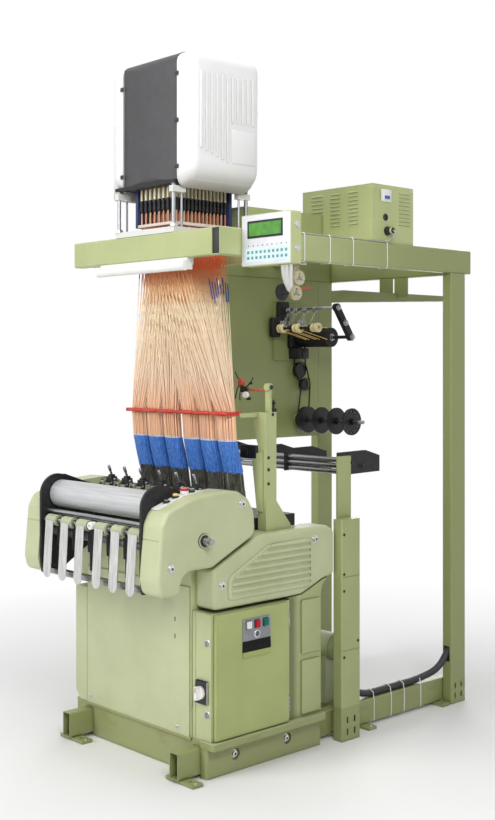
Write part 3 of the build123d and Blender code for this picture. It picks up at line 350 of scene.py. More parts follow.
def rounded(piece, edge, segments=2):
    """The piece's sharp edges are rounded by this many millimetres."""
    bevel = piece.modifiers.new("rounding", "BEVEL")
    bevel.width = edge / 1000
    bevel.segments = segments
    bevel.limit_method = "ANGLE"
    bevel.angle_limit = math.radians(40)
    return apply_all(piece)


def sharp_block(low, high):
    """A block between two corners."""
    clear_selection()
    bpy.ops.mesh.primitive_cube_add(size=1.0, location=(at(*low) + at(*high)) / 2)
    bpy.context.object.scale = at(*high) - at(*low)
    return apply_all(bpy.context.object)


def cut_block(low, high, edge=1.0, segments=2):
    """A block between two corners with its edges rounded."""
    return rounded(sharp_block(low, high), edge, segments)


def edit_all():
    """Edit mode of the active piece, with its whole mesh selected."""
    bpy.ops.object.mode_set(mode="EDIT")
    bpy.ops.mesh.select_all(action="SELECT")


def end_edit():
    bpy.ops.object.mode_set(mode="OBJECT")


def turned(place, axis, steps, sides=24, edge=0.0):
    """A turned piece: a disc drawn out along its axis through (offset, radius) steps."""
    clear_selection()
    bpy.ops.mesh.primitive_circle_add(vertices=sides, radius=steps[0][1] / 1000,
                                      fill_type="NGON")
    piece = bpy.context.object
    edit_all()
    for (last, before), (offset, radius) in zip(steps, steps[1:]):
        bpy.ops.mesh.extrude_region_move(
            TRANSFORM_OT_translate={"value": (0.0, 0.0, (offset - last) / 1000)})
        grow = radius / before
        bpy.ops.transform.resize(value=(grow, grow, 1.0), center_override=(0.0, 0.0, 0.0))
    bpy.ops.mesh.select_all(action="SELECT")
    bpy.ops.mesh.normals_make_consistent(inside=False)
    end_edit()
    if edge:
        rounded(piece, edge)
    piece.rotation_euler = Vector(axis).to_track_quat("Z", "Y").to_euler()
    piece.location = at(*place)
    return apply_all(piece)


def duplicate(source):
    """A copy of a piece, with its own mesh."""
    twin = source.copy()
    twin.data = source.data.copy()
    bpy.context.collection.objects.link(twin)
    return twin


def shifted(piece, shift):
    """Moves a piece's mesh by a shift in millimetres."""
    piece.data.transform(Matrix.Translation(Vector(shift) / 1000))
    return piece


def repeated(source, shifts):
    """Copies of a piece at these shifts, joined, in the place of the piece itself."""
    copies = [shifted(duplicate(source), shift) for shift in shifts]
    bpy.data.objects.remove(source)
    return joined(copies)


def joined(pieces):
    clear_selection()
    for piece in pieces:
        piece.select_set(True)
    bpy.context.view_layer.objects.active = pieces[0]
    if len(pieces) > 1:
        bpy.ops.object.join()
    return bpy.context.object


def fitted(piece, name, material, body="loom", angle=35.0):
    """Names a finished piece, gives it its finish and makes it ride its body."""
    piece.name = name
    piece.data.name = name
    piece.data.materials.clear()
    piece.data.materials.append(material)
    clear_selection()
    piece.select_set(True)
    bpy.context.view_layer.objects.active = piece
    bpy.ops.object.shade_smooth_by_angle(angle=math.radians(angle))
    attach(piece, body)
    return piece


def blocks(*rows):
    """Blocks by low corner, high corner, edge and segments, as one piece."""
    return joined([cut_block(*row) for row in rows])


to_right, to_left, to_front, to_back, upward = (
    (1, 0, 0), (-1, 0, 0), (0, -1, 0), (0, 1, 0), (0, 0, 1))
zinc = coat("zinc_plate", (196, 198, 196), (222, 222, 218), 60.0, (180.0, 0.22, 0.36),
            metallic=0.9)
socket_black = coat("socket_black", (26, 26, 28), (38, 38, 40), 90.0, (200.0, 0.45, 0.6))


def screw_set(name, places, axis, head, finish=zinc):
    """Socket screws at places: washer, domed head and a dark hexagon socket."""
    screw = turned((0, 0, 0), axis, ((0, head * 1.35), (1.2, head * 1.35), (1.3, head),
                                     (head * 0.7, head * 0.94), (head * 0.8, head * 0.7)),
                   sides=20)
    fitted(repeated(screw, places), name, finish)
    socket = turned(Vector(axis) * head * 0.74, axis,
                    ((0, head * 0.46), (head * 0.07, head * 0.46), (head * 0.1, head * 0.4)),
                    sides=6)
    fitted(repeated(socket, places), name + "_sockets", socket_black)


cover_holes = ((440, 164, 1010), (440, -182, 805), (434, 68, 712), (434, 567, 836))
screw_set("cover_screws", cover_holes, to_right, 12.0)
screw_set("left_cover_screws", [(-x, y, z) for x, y, z in cover_holes], to_left, 12.0)
screw_set("panel_screws", ((-303, 0, 163), (255, 0, 163), (255, 0, 676), (-303, 0, 676)),
          to_front, 6.5)
screw_set("column_screws", ((468, 704, 681), (468, 704, 612), (468, 704, 342),
                            (468, 788, 400), (468, 704, 842)), to_right, 4.5, socket_black)
screw_set("arm_screws", ((418, 806, 1126), (418, 875, 1109), (418, 740, 855)), to_right, 6.5,
          socket_black)
screw_set("plinth_screws", ((415, 145, 66), (415, 420, 66)), to_right, 12.0)
screw_set("frame_screws", ((393, 349, 1171), (393, 349, 1124), (393, 349, 1069),
                           (393, 372, 1340)), to_right, 5.0, socket_black)
screw_set("foot_screws", [(x, -73, 12) for x in (318, 450, -372, -240)] +
          [(348, 910, 12), (430, 910, 12)], upward, 5.5)
fitted(repeated(cut_block((239.5, -0.8, 560), (244.5, 0.2, 577)), ((0, 0, 0), (0, 0, -65))),
       "panel_slots", socket_black)


# Tube ends: the open ends of the side beam, the front beam and the floor rails are dark
# inside; black blocks set a little way in are painted shade for that.
end_shade_low, end_shade_high = 1952.6, 2048.4
end_shades = [cut_block((394.6, 56, end_shade_low), (435.4, 64, end_shade_high), 2.0),
         cut_block((-496, 57.6, end_shade_low), (-488, 98.4, end_shade_high), 2.0)]
end_shades += [cut_block((x + 4.6, -72, 16.6), (x + 45.4, -64, 107.4), 2.0) for x in (340, -350)]
fitted(joined(end_shades), "tube_end_shades", socket_black)


# Side cover ribs and leg fields: the pressed field between the grooves stands up in
# rounded ribs, and the legs below have two soft-edged raised fields.
def side_fields(inner, outer, boxes, edge, segments):
    """Blocks on both sides of the loom from (low y, low z, high y, high z) boxes."""
    return joined([cut_block((min(side * inner, side * outer), y0, z0),
                             (max(side * inner, side * outer), y1, z1), edge, segments)
                   for y0, z0, y1, z1 in boxes for side in (-1, 1)])


rib_pitch, rib_half_height = 25.0, 6.5
rib_boxes = []
for row in range(7):
    z = 684.5 + rib_pitch * row
    front = 116.0 + max(0.0, z - 728.0) * 1.9
    rib_boxes.append((front, z - rib_half_height, 538, z + rib_half_height))
fitted(side_fields(437, 443, rib_boxes, 2.9, 3), "side_cover_ribs", cover_enamel)
leg_boxes = ((486, 149, 591, 362), (486, 388, 591, 601))
fitted(side_fields(436, 443, leg_boxes, 6.5, 4), "leg_fields", leg_enamel)


# Black and bright metal: the warp plates, the take-off plates, the feeder, the levers
# and discs are black oxide or crackle enamel; rods and bars are ground bright steel.
def streaks(stretch, low=0.0, high=1.0):
    """Fine streaks along one axis, between two values."""
    return lambda s: s.noise(160.0, 3.0, stretch).spread(0.3, 0.7, low, high)


def brushed(dark, light, stretch):
    """Colour in fine streaks between two chart colours."""
    return lambda s: streaks(stretch)(s).mix(tint(*dark), tint(*light))


black_satin = coat("black_satin", (26, 26, 28), (40, 40, 42), 40.0, (70.0, 0.4, 0.55),
                   bump=lambda s: s.noise(600.0, 2.0).bump(0.12, 0.0004),
                   fixed=(("Specular IOR Level", 0.3),))
dress(black_satin, "warp_plates", "take_off_plates", "head_base", "weaving_bed")
ground_steel = finish_of("ground_steel", brushed((140, 142, 144), (178, 180, 181), (0.05, 1, 1)),
                         streaks((0.05, 1, 1), 0.2, 0.34), metallic=0.95)
dress(ground_steel, "warp_rods", "take_off_bars", "hand_shaft", "cabinet_locks",
      "door_hinges", "door_knuckles")
roller_cover = finish_of("roller_cover", brushed((184, 185, 186), (206, 207, 208), (0.04, 1, 1)),
                         grained(300.0, 0.42, 0.52), metallic=0.6,
                         bump=lambda s: s.noise(900.0, 2.0).bump(0.06, 0.0003))
dress(roller_cover, "take_off_roller")
strip_steel = finish_of("strip_steel", brushed((186, 187, 185), (222, 222, 219), (1, 1, 0.06)),
                        streaks((1, 1, 0.06), 0.28, 0.4), metallic=0.75)
dress(strip_steel, "tape_strips")


# Take-off fittings: a black guide finger hangs beside every bright strip, bright
# collars flank the rings, and a white bored guide block sits between two of them.
tape_x = (-256.0, -151.0, -46.0, 75.0, 180.0, 285.0)
shaft_y, shaft_z = -25, 889


def on_tapes(source, *sides):
    """Copies of a shape at every tape, or at these offsets beside every tape."""
    return repeated(source, [(x + side, 0, 0) for x in tape_x for side in sides or (0,)])


finger = blocks(((-13, -208, 742), (11, -201, 840), 3.0, 3),
                ((-24, -210, 812), (19, -200, 902), 4.5, 3),
                ((-12, -214, 886), (12, -194, 926), 5.0, 3))
fitted(on_tapes(finger, 36), "tape_fingers", black_satin)
back_tube = turned((-320.5, -168, 862), to_right, ((0, 15), (641, 15)), sides=28, edge=1.0)
fitted(back_tube, "take_off_tube", coat("dull_tube", (96, 97, 98), (128, 129, 130), 30.0,
                                        (90.0, 0.35, 0.5), metallic=0.6))
shaft_seal = turned((439.8, shaft_y, shaft_z), to_right, ((0, 28), (3, 28), (5, 25), (5, 17),
                                                          (2, 16.5)), sides=36)
fitted(shaft_seal, "shaft_seal", socket_black)
shaft_sleeve = turned((442, shaft_y, shaft_z), to_right,
                      ((0, 16), (12, 16), (13, 14.5), (18, 14.5), (19, 16), (27, 16),
                       (28, 13)), sides=32)
fitted(shaft_sleeve, "shaft_sleeve", ground_steel, "hand_shaft")
white_moulded = coat("white_moulded", (232, 232, 228), (240, 240, 237), 12.0, (40.0, 0.32, 0.45),
                     bump=lambda s: s.noise(500.0, 2.0).bump(0.06, 0.0004))
guide = turned((15, -212, 921), to_front, ((0, 15), (22, 15), (25, 12), (25, 6),
                                           (12, 5.5)), sides=28)
fitted(guide, "tape_guide_block", white_moulded)
collar = turned((0, -212, 916), to_right, ((-2, 9.5), (-1.5, 13), (1.5, 13), (2, 9.5)))
fitted(on_tapes(collar, -35.5, 35.5), "ring_collars", ground_steel)


# Weaving bed tools: every tape has a pale casting with a small black clamp and a bright
# leaning lever, tied by one cross shaft, with a reed of thin steel dents behind it.
def cast_colour(s):
    # Painted shade: the casting darkens in its narrow corners.
    hollow_shade = s.crevice(14.0).spread(0.2, 0.9)
    return hollow_shade.mix(mottled(tint(126, 131, 108), tint(160, 165, 140), 30.0)(s), tint(36, 36, 32))


cast_metal = finish_of("cast_metal", cast_colour, grained(90.0, 0.4, 0.55), metallic=0.2)
casting = blocks(((-41, 34, 930.2), (41, 152, 974), 4.0, 3),
                 ((-38, 46, 970), (-20, 124, 1036), 4.0, 3),
                 ((20, 46, 970), (38, 124, 1036), 4.0, 3),
                 ((-40, 50, 1022), (40, 84, 1046), 5.0, 3),
                 ((-36, 40, 1036), (-22, 76, 1056), 4.0, 3),
                 ((24, 44, 1036), (37, 92, 1054), 4.0, 3),
                 ((-14, 84, 1014), (14, 140, 1042), 5.0, 3),
                 ((-41, 128, 970), (41, 146, 1010), 4.0, 3))
castings = on_tapes(casting)
fitted(castings, "lever_castings", cast_metal)
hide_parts("needle_levers")
clamp = joined([blocks(((-18, 54, 1042), (18, 86, 1072), 3.0, 3),
                       ((-12, 60, 1070), (10, 82, 1080), 2.5, 2),
                       ((-26, 60, 1044), (26, 80, 1060), 3.0, 2)),
                turned((-30, 71, 1052), to_right, ((0, 8), (60, 8)), sides=20, edge=1.0)])
shaft = turned((-326, 106, 1030), to_right, ((0, 7), (652, 7)), sides=20, edge=0.8)
collars = on_tapes(turned((-7, 106, 1030), to_right, ((0, 14), (14, 14)), sides=20,
                          edge=1.5), -46, 46)
needle_carrier = blocks(((-38, 122, 1026), (46, 136, 1046), 3.0, 2),
                        ((30, 84, 1030), (42, 150, 1052), 3.0, 2),
                        ((-30, 140, 1010), (36, 158, 1032), 3.0, 2))
fitted(joined([on_tapes(clamp), shaft, collars, on_tapes(needle_carrier)]), "lever_clamps",
       black_satin)
stem = turned((0, 71, 1076), (0, -0.375, 0.927), ((0, 4.8), (22, 4.8), (23, 6.2),
                                                  (43, 6.6), (46, 5.0), (47, 3)), sides=16)
fitted(on_tapes(stem), "lever_stems", ground_steel)
dent = cut_block((-0.4, 168, 931), (0.4, 176, 1030), 0.2, 1)
reed_bars = blocks(((-48, 165, 1026), (48, 179, 1036), 2.0),
                   ((-48, 165, 930.2), (48, 179, 936), 1.0))
fitted(joined([on_tapes(dent, *(3.6 * step for step in range(-12, 13))),
               on_tapes(reed_bars)]), "reeds", ground_steel)
tongue = blocks(((-2, 34, 1040.2), (2, 50, 1046), 0.8, 1),
                ((-2.6, 44, 1040.2), (2.6, 51, 1060), 1.2, 1))
fitted(on_tapes(tongue, *(7.5 * step for step in (-5, -4, 4, 5))), "spring_tongues",
       black_satin)
clamp_nut = turned((0, 71, 1060), upward, ((0, 6), (5, 6), (5.5, 5)), sides=6)
fitted(on_tapes(clamp_nut, -20, 20), "clamp_nuts", zinc)


# Push buttons: a white moulded strip with four domed caps, black, yellow, a large red
# mushroom and green, each in a dark bezel ring.
dress(white_moulded, "button_strip")


def cap_finish(name, shade):
    lighter = tuple(min(1.0, c * 1.15) for c in shade)
    return finish_of(name, mottled(shade, lighter, 25.0), grained(60.0, 0.4, 0.52))


red_cap = cap_finish("red_cap", tint(168, 22, 34))
yellow_cap = cap_finish("yellow_cap", tint(226, 196, 60))
green_cap = cap_finish("green_cap", tint(52, 120, 72))
black_cap = cap_finish("black_cap", tint(36, 36, 38))
buttons = (("black_button", -136, 1028.3, 9, 10, black_cap, "black_plastic"),
           ("yellow_button", -94, 1043.5, 10, 14, yellow_cap, "white_plastic"),
           ("red_button", -51, 1053.5, 16, 24, red_cap, "red_plastic"),
           ("green_button", -17, 1057.5, 10, 14, green_cap, "paint"))
for name, y, z, radius, height, material, slot in buttons:
    r = radius + 0.5
    stem = min(r, 10.5)
    cap = turned((359, y, z + 4), upward,
                 ((0, stem), (height * 0.45, stem), (height * 0.5, r), (height - 2, r),
                  (height + 0.3, r * 0.86), (height + 1.2, r * 0.5)), sides=28)
    fitted(cap, name, material, angle=50.0)
bezel = turned((359, 0, 3.2), upward, ((0, 14), (5.6, 14), (7, 12.5)), sides=28)
fitted(repeated(bezel, [(0, y, z) for _, y, z, *_ in buttons]), "button_bezels",
       socket_black)


# Control cabinet door: a hung sheet door with a grey control plate of three square
# push buttons, a round indicator and a bare black field; slotted locks at its edge.
def plate_colour(s):
    field_top, plate_foot, dial_top, front_face = 492.0, 450.0, 530.0, 455.8
    x, y, z = (s.along(axis) for axis in range(3))
    sheet = mottled(tint(138, 140, 146), tint(150, 152, 157), 50.0)(s)
    plate = z.above(field_top).mix(tint(18, 18, 19), sheet)
    plate = z.above(plate_foot).mix(tint(168, 177, 113), plate)
    proud = x.above(front_face) * z.above(field_top)
    coloured = y.above(205.0).mix(tint(240, 240, 236), tint(190, 36, 52))
    coloured = y.above(249.0).mix(coloured, tint(20, 120, 96))
    dial = z.above(dial_top).mix(tint(104, 106, 110), coloured)
    return proud.mix(plate, dial)


dress(finish_of("control_plate", plate_colour,
                grained(80.0, 0.5, 0.62),
                fixed=(("Specular IOR Level", 0.15),)), "door_controls")
frame_ring = cut_block((455.2, 169, 536), (457.6, 197, 568), 1.5)
edit_all()
bpy.ops.mesh.bevel(offset=0.0003, segments=1)
end_edit()
fitted(repeated(frame_ring, ((0, 0, 0), (0, 44, 0), (0, 88, 0))), "button_frames",
       socket_black, "cabinet_door")
dial_ring = turned((455.3, 227.5, 513), to_right, ((0, 15.5), (2.4, 15.5), (3.6, 14),
                                                   (3.6, 11), (2.2, 10.5)), sides=32)
fitted(dial_ring, "indicator_ring", zinc, "cabinet_door")
corner = turned((455.2, 161, 569), to_right, ((0, 2.6), (1.0, 2.6), (1.5, 1.6)), sides=12)
fitted(repeated(corner, ((0, 0, 0), (0, 133, 0))), "plate_rivets", zinc, "cabinet_door")
slot_bar = cut_block((417.8, 3.3, 494), (420.2, 4.6, 512), 0.5, 1)
fitted(repeated(slot_bar, ((0, 0, 0), (0, 0, -265))), "lock_slots", socket_black)
rim = turned((419, 9.9, 503), to_front, ((0, 15), (1.6, 15), (2.6, 13)), sides=28)
fitted(repeated(rim, ((0, 0, 0), (0, 0, -265))), "lock_rims", zinc)


# Main switch: a black plate in a thin grey frame with a ribbed white rotary knob.
grey_sheath = coat("grey_sheath", (150, 150, 144), (172, 172, 165), 60.0, (90.0, 0.45, 0.6))
dress(socket_black, "main_switch")
dress(white_moulded, "main_switch_knob")
rails = blocks(((361.5, -1, 355), (424.5, 9.9, 361), 1.5),
               ((361.5, -1, 277), (424.5, 9.9, 283), 1.5),
               ((361.5, -1, 282), (366, 9.9, 356), 1.5),
               ((420, -1, 282), (424.5, 9.9, 356), 1.5))
fitted(rails, "switch_frame", grey_sheath)
pointer = cut_block((391, -29.4, 322), (395, -28, 340), 0.6)
fitted(pointer, "switch_pointer", red_cap, "switch_knob")


# Display: an enamelled box with a white front film, a dark-framed green glass, a row of
# small coloured marks and two rows of unlettered membrane keys.
def box_colour(s):
    knob = s.along(0).above(703.4)
    return knob.mix(mottled(tint(186, 194, 140), tint(194, 202, 149))(s), tint(200, 200, 200))


dress(finish_of("display_enamel", box_colour,
                grained(30.0, 0.3, 0.4),
                metallic=lambda s: s.along(0).above(703.4) * 0.9), "display_box")
film = coat("display_film", (216, 217, 224), (226, 227, 232), 20.0, (80.0, 0.3, 0.42))
fitted(cut_block((443, 162.1, 1908), (700, 163.2, 2094), 0.5), "display_front", film)


def framed_glass(low, high, rim_width, depth):
    """A dark frame whose front is inset and pressed back, ready for the glass."""
    piece = cut_block(low, high, 1.2)
    bpy.ops.object.mode_set(mode="EDIT")
    bpy.ops.mesh.select_all(action="DESELECT")
    end_edit()
    front = max((face for face in piece.data.polygons if face.normal.y < -0.9),
                key=lambda face: face.area)
    front.select = True
    bpy.ops.object.mode_set(mode="EDIT")
    bpy.ops.mesh.select_mode(type="FACE")
    bpy.ops.mesh.inset(thickness=rim_width / 1000)
    bpy.ops.mesh.extrude_region_move(TRANSFORM_OT_translate={"value": (0.0, depth / 1000, 0.0)})
    end_edit()
    return piece


fitted(framed_glass((474, 159.6, 2008), (662, 162.6, 2073), 7.0, 1.6), "display_bezel",
       black_satin)
green_glass = coat("green_glass", (70, 132, 48), (86, 150, 58), 40.0, (20.0, 0.18, 0.28),
                   fixed=(("Emission Color", (*tint(60, 130, 40), 1.0)),
                          ("Emission Strength", 0.12)))
fitted(cut_block((482, 160.4, 2016), (654, 161.4, 2065), 0.3, 1), "display_glass",
       green_glass)
key_film = coat("key_film", (204, 232, 234), (214, 238, 240), 20.0, (80.0, 0.3, 0.42))
fitted(cut_block((462, 161.6, 1921), (694, 162.4, 1969), 0.3, 1), "key_field", key_film)
key_teal = coat("key_teal", (96, 132, 142), (120, 152, 160), 70.0, (80.0, 0.34, 0.46))
key = cut_block((-6, 160.6, -5.5), (6, 161.8, 5.5), 0.7)
fitted(repeated(key, [(478 + 22.4 * column, 0, z) for column in range(10)
                      for z in (1935, 1956)]), "display_keys", key_teal)
mark = turned((0, 162.2, 0), to_front, ((0, 3.2), (0.7, 3.2), (1.0, 2.6)), sides=12)
mark_colours = (("dark_marks", key_teal, (0, 2, 4, 5, 7, 8)), ("red_marks", red_cap, (3, 1)),
                ("yellow_marks", yellow_cap, (6,)))
for name, material, columns in mark_colours:
    fitted(repeated(duplicate(mark), [(480 + 25 * column, 0, 1980) for column in columns]),
           name, material)
bpy.data.objects.remove(mark)
knob = turned((703, 193, 2047), to_right, ((0, 13), (3, 13), (3.5, 11), (7.6, 10.4)), sides=18)
fitted(repeated(knob, ((0, 0, 0), (0, 0, -87))), "display_knobs", zinc)


# Work lamp under the front beam: a white sheet channel with a pale diffuser tube and
# two moulded end caps.
dress(white_moulded, "lamp")
end_cap = joined([turned((-313.5, 46, 1915), to_right, ((0, 17.8), (10, 17.8)), sides=28,
                         edge=1.5),
                  cut_block((-312.3, 30, 1914), (-304.7, 62, 1938), 2.0, 2),
                  cut_block((-312.9, 53.5, 1921.5), (-310, 89.5, 1948.2), 1.0, 2)])
fitted(repeated(shifted(end_cap, (0.5, 0, 0)), ((0, 0, 0), (551, 0, 0))), "lamp_ends",
       white_moulded)


# Jacquard head: fluted white moulded covers over a dark grey steel centre, held at
# their seams by small black clips.
# Painted shade: the head's white darkens in its narrow corners and towards its lower edge.
head_white = finish_of(
    "head_white", lambda s: s.crevice(26.0).spread(0.06, 0.6, 0.0, 0.85).mix(
        s.along(2).spread(2228.0, 2300.0, 0.7, 0.0).mix(
            mottled(tint(236, 236, 236), tint(243, 243, 242), 5.0)(s),
            tint(168, 165, 156)), tint(158, 157, 152)),
    grained(30.0, 0.42, 0.55),
    bump=lambda s: s.noise(260.0, 3.0).bump(0.1, 0.0006))


def cut_away(piece, place, normal):
    """Cuts the active piece with a plane, drops the side the normal points to."""
    edit_all()
    bpy.ops.mesh.bisect(plane_co=at(*place), plane_no=normal, use_fill=True, clear_outer=True)
    end_edit()
    return piece


def moulded_cover():
    """Right cover: a soft-cornered shell with a sloped foot, ribs and a bare field."""
    shell = sharp_block((98, 62, 2224), (264.5, 438, 2754))
    cut_away(shell, (198, 62, 2224), (0.68, 0.0, -0.73))
    rounded(shell, 46.0, 8)
    cut_away(shell, (178.2, 62, 2224), (-1.0, 0.0, 0.0))
    parts = [shell]
    for step in range(11):
        y = 113.0 + step * 27.2
        foot = 2374.0 - step * 9.0 if y < 262.0 else 2488.0
        parts.append(cut_block((258, y - 7, foot), (268.6, y + 7, 2676), 4.4, 3))
    parts.append(cut_block((258, 268, 2330), (267.4, 398, 2466), 6.0, 3))
    return joined(parts)


right_cover = moulded_cover()
left_cover = duplicate(right_cover)
mirror_about = at(5, 0, 0).x
left_cover.data.transform(Matrix.Translation((2 * mirror_about, 0, 0))
                          @ Matrix.Scale(-1.0, 4, (1, 0, 0)))
left_cover.data.flip_normals()
left_cover = joined([left_cover, cut_block((-266, 82, 2214), (-226, 378, 2531), 12.0, 4)])
fitted(right_cover, "moulded_cover_right", head_white, angle=50.0)
fitted(left_cover, "moulded_cover_left", head_white, angle=50.0)
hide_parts("head_cover_right")
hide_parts("head_cover_left")
dress(coat("charcoal_enamel", (55, 55, 57), (65, 65, 67), 7.0, (40.0, 0.45, 0.58),
           bump=lambda s: s.noise(500.0, 2.0).bump(0.15, 0.0005)), "head_centre")
clip = cut_block((-9, 55.5, -8), (9, 61, 8), 2.0, 2)
fitted(repeated(clip, ((180, 0, 2667), (180, 0, 2485), (180, 0, 2306), (-170, 0, 2660),
                       (-170, 0, 2301))), "cover_clips", socket_black)


# Head posts: ground round steel posts stand on hexagon nuts between the beams and the
# head, in white cast clamps.
def post_colour(s):
    high = s.along(2)
    white = high.between(2209.0, 2236.0) + (1 - high.above(2076.0))
    steel = s.noise(30.0, 2.0, (1, 1, 0.02)).spread(0.3, 0.7).mix(tint(128, 130, 133),
                                                                  tint(170, 172, 174))
    return white.mix(steel, tint(222, 223, 218))


dress(finish_of("post_steel", post_colour,
                lambda s: s.noise(60.0, 2.0, (1, 1, 0.02)).spread(0.3, 0.7, 0.3, 0.36),
                metallic=lambda s: s.along(2).between(2076.0, 2209.0) * 0.75),
      "head_posts")
post_nut = turned((0, 0, 2075), upward, ((0, 17), (10, 17), (11, 14), (14, 12)), sides=6)
fitted(repeated(post_nut, [(x, y, 0) for x in (-195, 157) for y in (63, 446)]),
       "post_nuts", zinc)


# Hooks under the head: rows of flat plastic hooks, cream above, black at the magnet
# housings and salmon below, on a pale board between navy slabs.
def hook_colour(s):
    x, y, z = (s.along(axis) for axis in range(3))
    row = (x + 127.0) * (8 / 227) + (y - 107.0) * (15 / 298)
    parity = row.maths("PINGPONG", row, 1.0).above(0.5)
    cream = parity.mix(tint(255, 248, 218), tint(246, 232, 200))
    salmon = parity.mix(tint(224, 146, 106), tint(206, 172, 150))
    lower = z.above(2152.0).mix(salmon, tint(28, 28, 32))
    bands = z.above(2203.0).mix(lower, cream)
    board = z.above(2106.0).mix(tint(236, 224, 216), bands)
    slab = (1 - x.above(-128.5)) + y.above(406.5)
    return slab.mix(board, mottled(tint(38, 52, 92), tint(52, 66, 108), 20.0)(s))


hook_plastic = finish_of("hook_plastic", hook_colour, grained(60.0, 0.45, 0.6))
hook = blocks(((-2.9, -2.6, 2104), (2.9, 2.6, 2160), 1.0, 1),
              ((-6.2, -5.4, 2156), (6.2, 5.4, 2178), 1.8, 1),
              ((-5.0, -4.4, 2176), (5.0, 4.4, 2186), 1.2, 1),
              ((-6.2, -5.4, 2184), (6.2, 5.4, 2203), 1.8, 1),
              ((-4.6, -4.0, 2202), (4.6, 4.0, 2257.5), 1.2, 1))
hook_places = [(-127 + (row + 0.5) * 227 / 8, 107 + (column + 0.5) * 298 / 15, 0)
               for row in range(8) for column in range(15)]
board = blocks(((-127, 107, 2093), (100, 405, 2105), 1.5),
               ((-143, 107, 2093.2), (-129.5, 405, 2257.5), 1.5),
               ((-127, 407.5, 2106), (100, 421, 2257.5), 1.5))
hooks = joined([repeated(hook, hook_places), board])
fitted(hooks, "hook_rows", hook_plastic)
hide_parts("hook_block")


# Harness cords: waxed cords run from the hooks in one fan, part over six tapes and
# pass between the red bars; they are orange at the hooks and bleach to peach below.
def drawn(lines, radius, smooth=False, rings=0, cyclic=False):
    """Round strands along lines of drawing places, as one mesh."""
    clear_selection()
    data = bpy.data.curves.new("strand", "CURVE")
    data.dimensions = "3D"
    data.bevel_depth = radius / 1000
    data.bevel_resolution = rings
    data.use_fill_caps = not cyclic
    data.resolution_u = 6
    for line in lines:
        spline = data.splines.new("NURBS" if smooth else "POLY")
        spline.points.add(len(line) - 1)
        for point, place in zip(spline.points, line):
            point.co = (*at(*place), 1.0)
        if smooth:
            spline.order_u = 3
            spline.use_endpoint_u = True
        spline.use_cyclic_u = cyclic
    strand = bpy.data.objects.new("strand", data)
    bpy.context.collection.objects.link(strand)
    strand.select_set(True)
    bpy.context.view_layer.objects.active = strand
    bpy.ops.object.convert(target="MESH")
    return bpy.context.object


cord_top, bar_level, sleeve_top = 2093.0, 1345.0, 1240.0


def cord_colour(s):
    z = s.along(2)
    strand = s.noise(500.0, 2.0, (1.0, 1.0, 0.02))
    fall = z.spread(bar_level, cord_top)
    ramp = {"stops": ((0.0, tint(255, 212, 176)), (0.2, tint(255, 234, 208)),
                      (0.56, tint(255, 240, 206)), (0.68, tint(255, 206, 152)),
                      (0.78, tint(238, 108, 52)))}
    body = s.node("ShaderNodeValToRGB", ramp, {0: fall})
    body = strand.spread(0.35, 0.65, 0.0, 0.12).mix(body, tint(244, 186, 140))
    knots = s.node("ShaderNodeTexWave", {"bands_direction": "Z"},
                   {"Vector": s.seen(), "Scale": 8.0, "Distortion": 5.0,
                    "Detail Scale": 3.0}, out="Fac")
    knots = knots.spread(0.6, 0.95, 0.0, 0.5) * z.spread(1500.0, 1800.0)
    knots = knots * s.noise(260.0, 2.0, (1.0, 1.0, 0.3)).spread(0.38, 0.62)
    body = knots.mix(body, tint(232, 140, 88))
    # Painted shade: the cords darken where they crowd together.
    return s.crevice(9.0).spread(0.35, 1.0, 0.0, 0.42).mix(body, tint(214, 122, 76))


cord_finish = finish_of("waxed_cord", cord_colour,
                        grained(200.0, 0.6, 0.8),
                        fixed=(("Sheen Weight", 0.5), ("Sheen Roughness", 0.4)))


def in_bundle(x, across, along, middle_y, half_width, half_depth):
    """Place in a rounded bundle for shares from -1 to 1 across and along it."""
    return (x + half_width * across * math.sqrt(1 - along * along / 2),
            middle_y + half_depth * along * math.sqrt(1 - across * across / 2))


cord_lines = []
random.seed(7)
for number, (top_x, top_y, _) in enumerate(hook_places):
    for x in tape_x:
        across = (number // 15) * 2 / 7 - 1 + random.uniform(-0.12, 0.12)
        along = (number % 15) / 7 - 1 + random.uniform(-0.05, 0.05)
        cord_lines.append(((top_x + random.uniform(-0.8, 0.8), top_y, cord_top),
                           (*in_bundle(x, across, along, 220, 45, 25), bar_level),
                           (*in_bundle(x, across, along, 228, 44, 26), sleeve_top)))
blue_lines = []
for line in cord_lines:
    high, low = Vector(line[0]), Vector(line[1])
    if high.x > 80 and low.x > 250 and high.y > 250 or high.x < -100 and low.x < -230:
        top, bottom = (0.3, 0.39) if high.x > 0 else (0.15, 0.26)
        blue_lines.append(tuple(high.lerp(low, share + random.uniform(-0.03, 0.03))
                                for share in (top, bottom)))
cords = drawn(cord_lines, 1.5)
fitted(cords, "harness_strands", cord_finish)
fitted(drawn(blue_lines, 2.2), "blue_tubes", coat("dark_blue_tube", (44, 62, 150), (70, 92, 190),
                                                  60.0, (120.0, 0.4, 0.55)))
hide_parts("harness_cords")


# Sleeves: below the red bars every cord runs in a blue ribbed plastic sleeve with a
# pale upper lip.
def sleeve_colour(s):
    strand = s.noise(300.0, 2.0, (1.0, 1.0, 0.04))
    blue = strand.spread(0.35, 0.65).mix(tint(52, 104, 190), tint(96, 152, 228))
    return s.along(2).above(1236.0).mix(blue, tint(214, 222, 236))


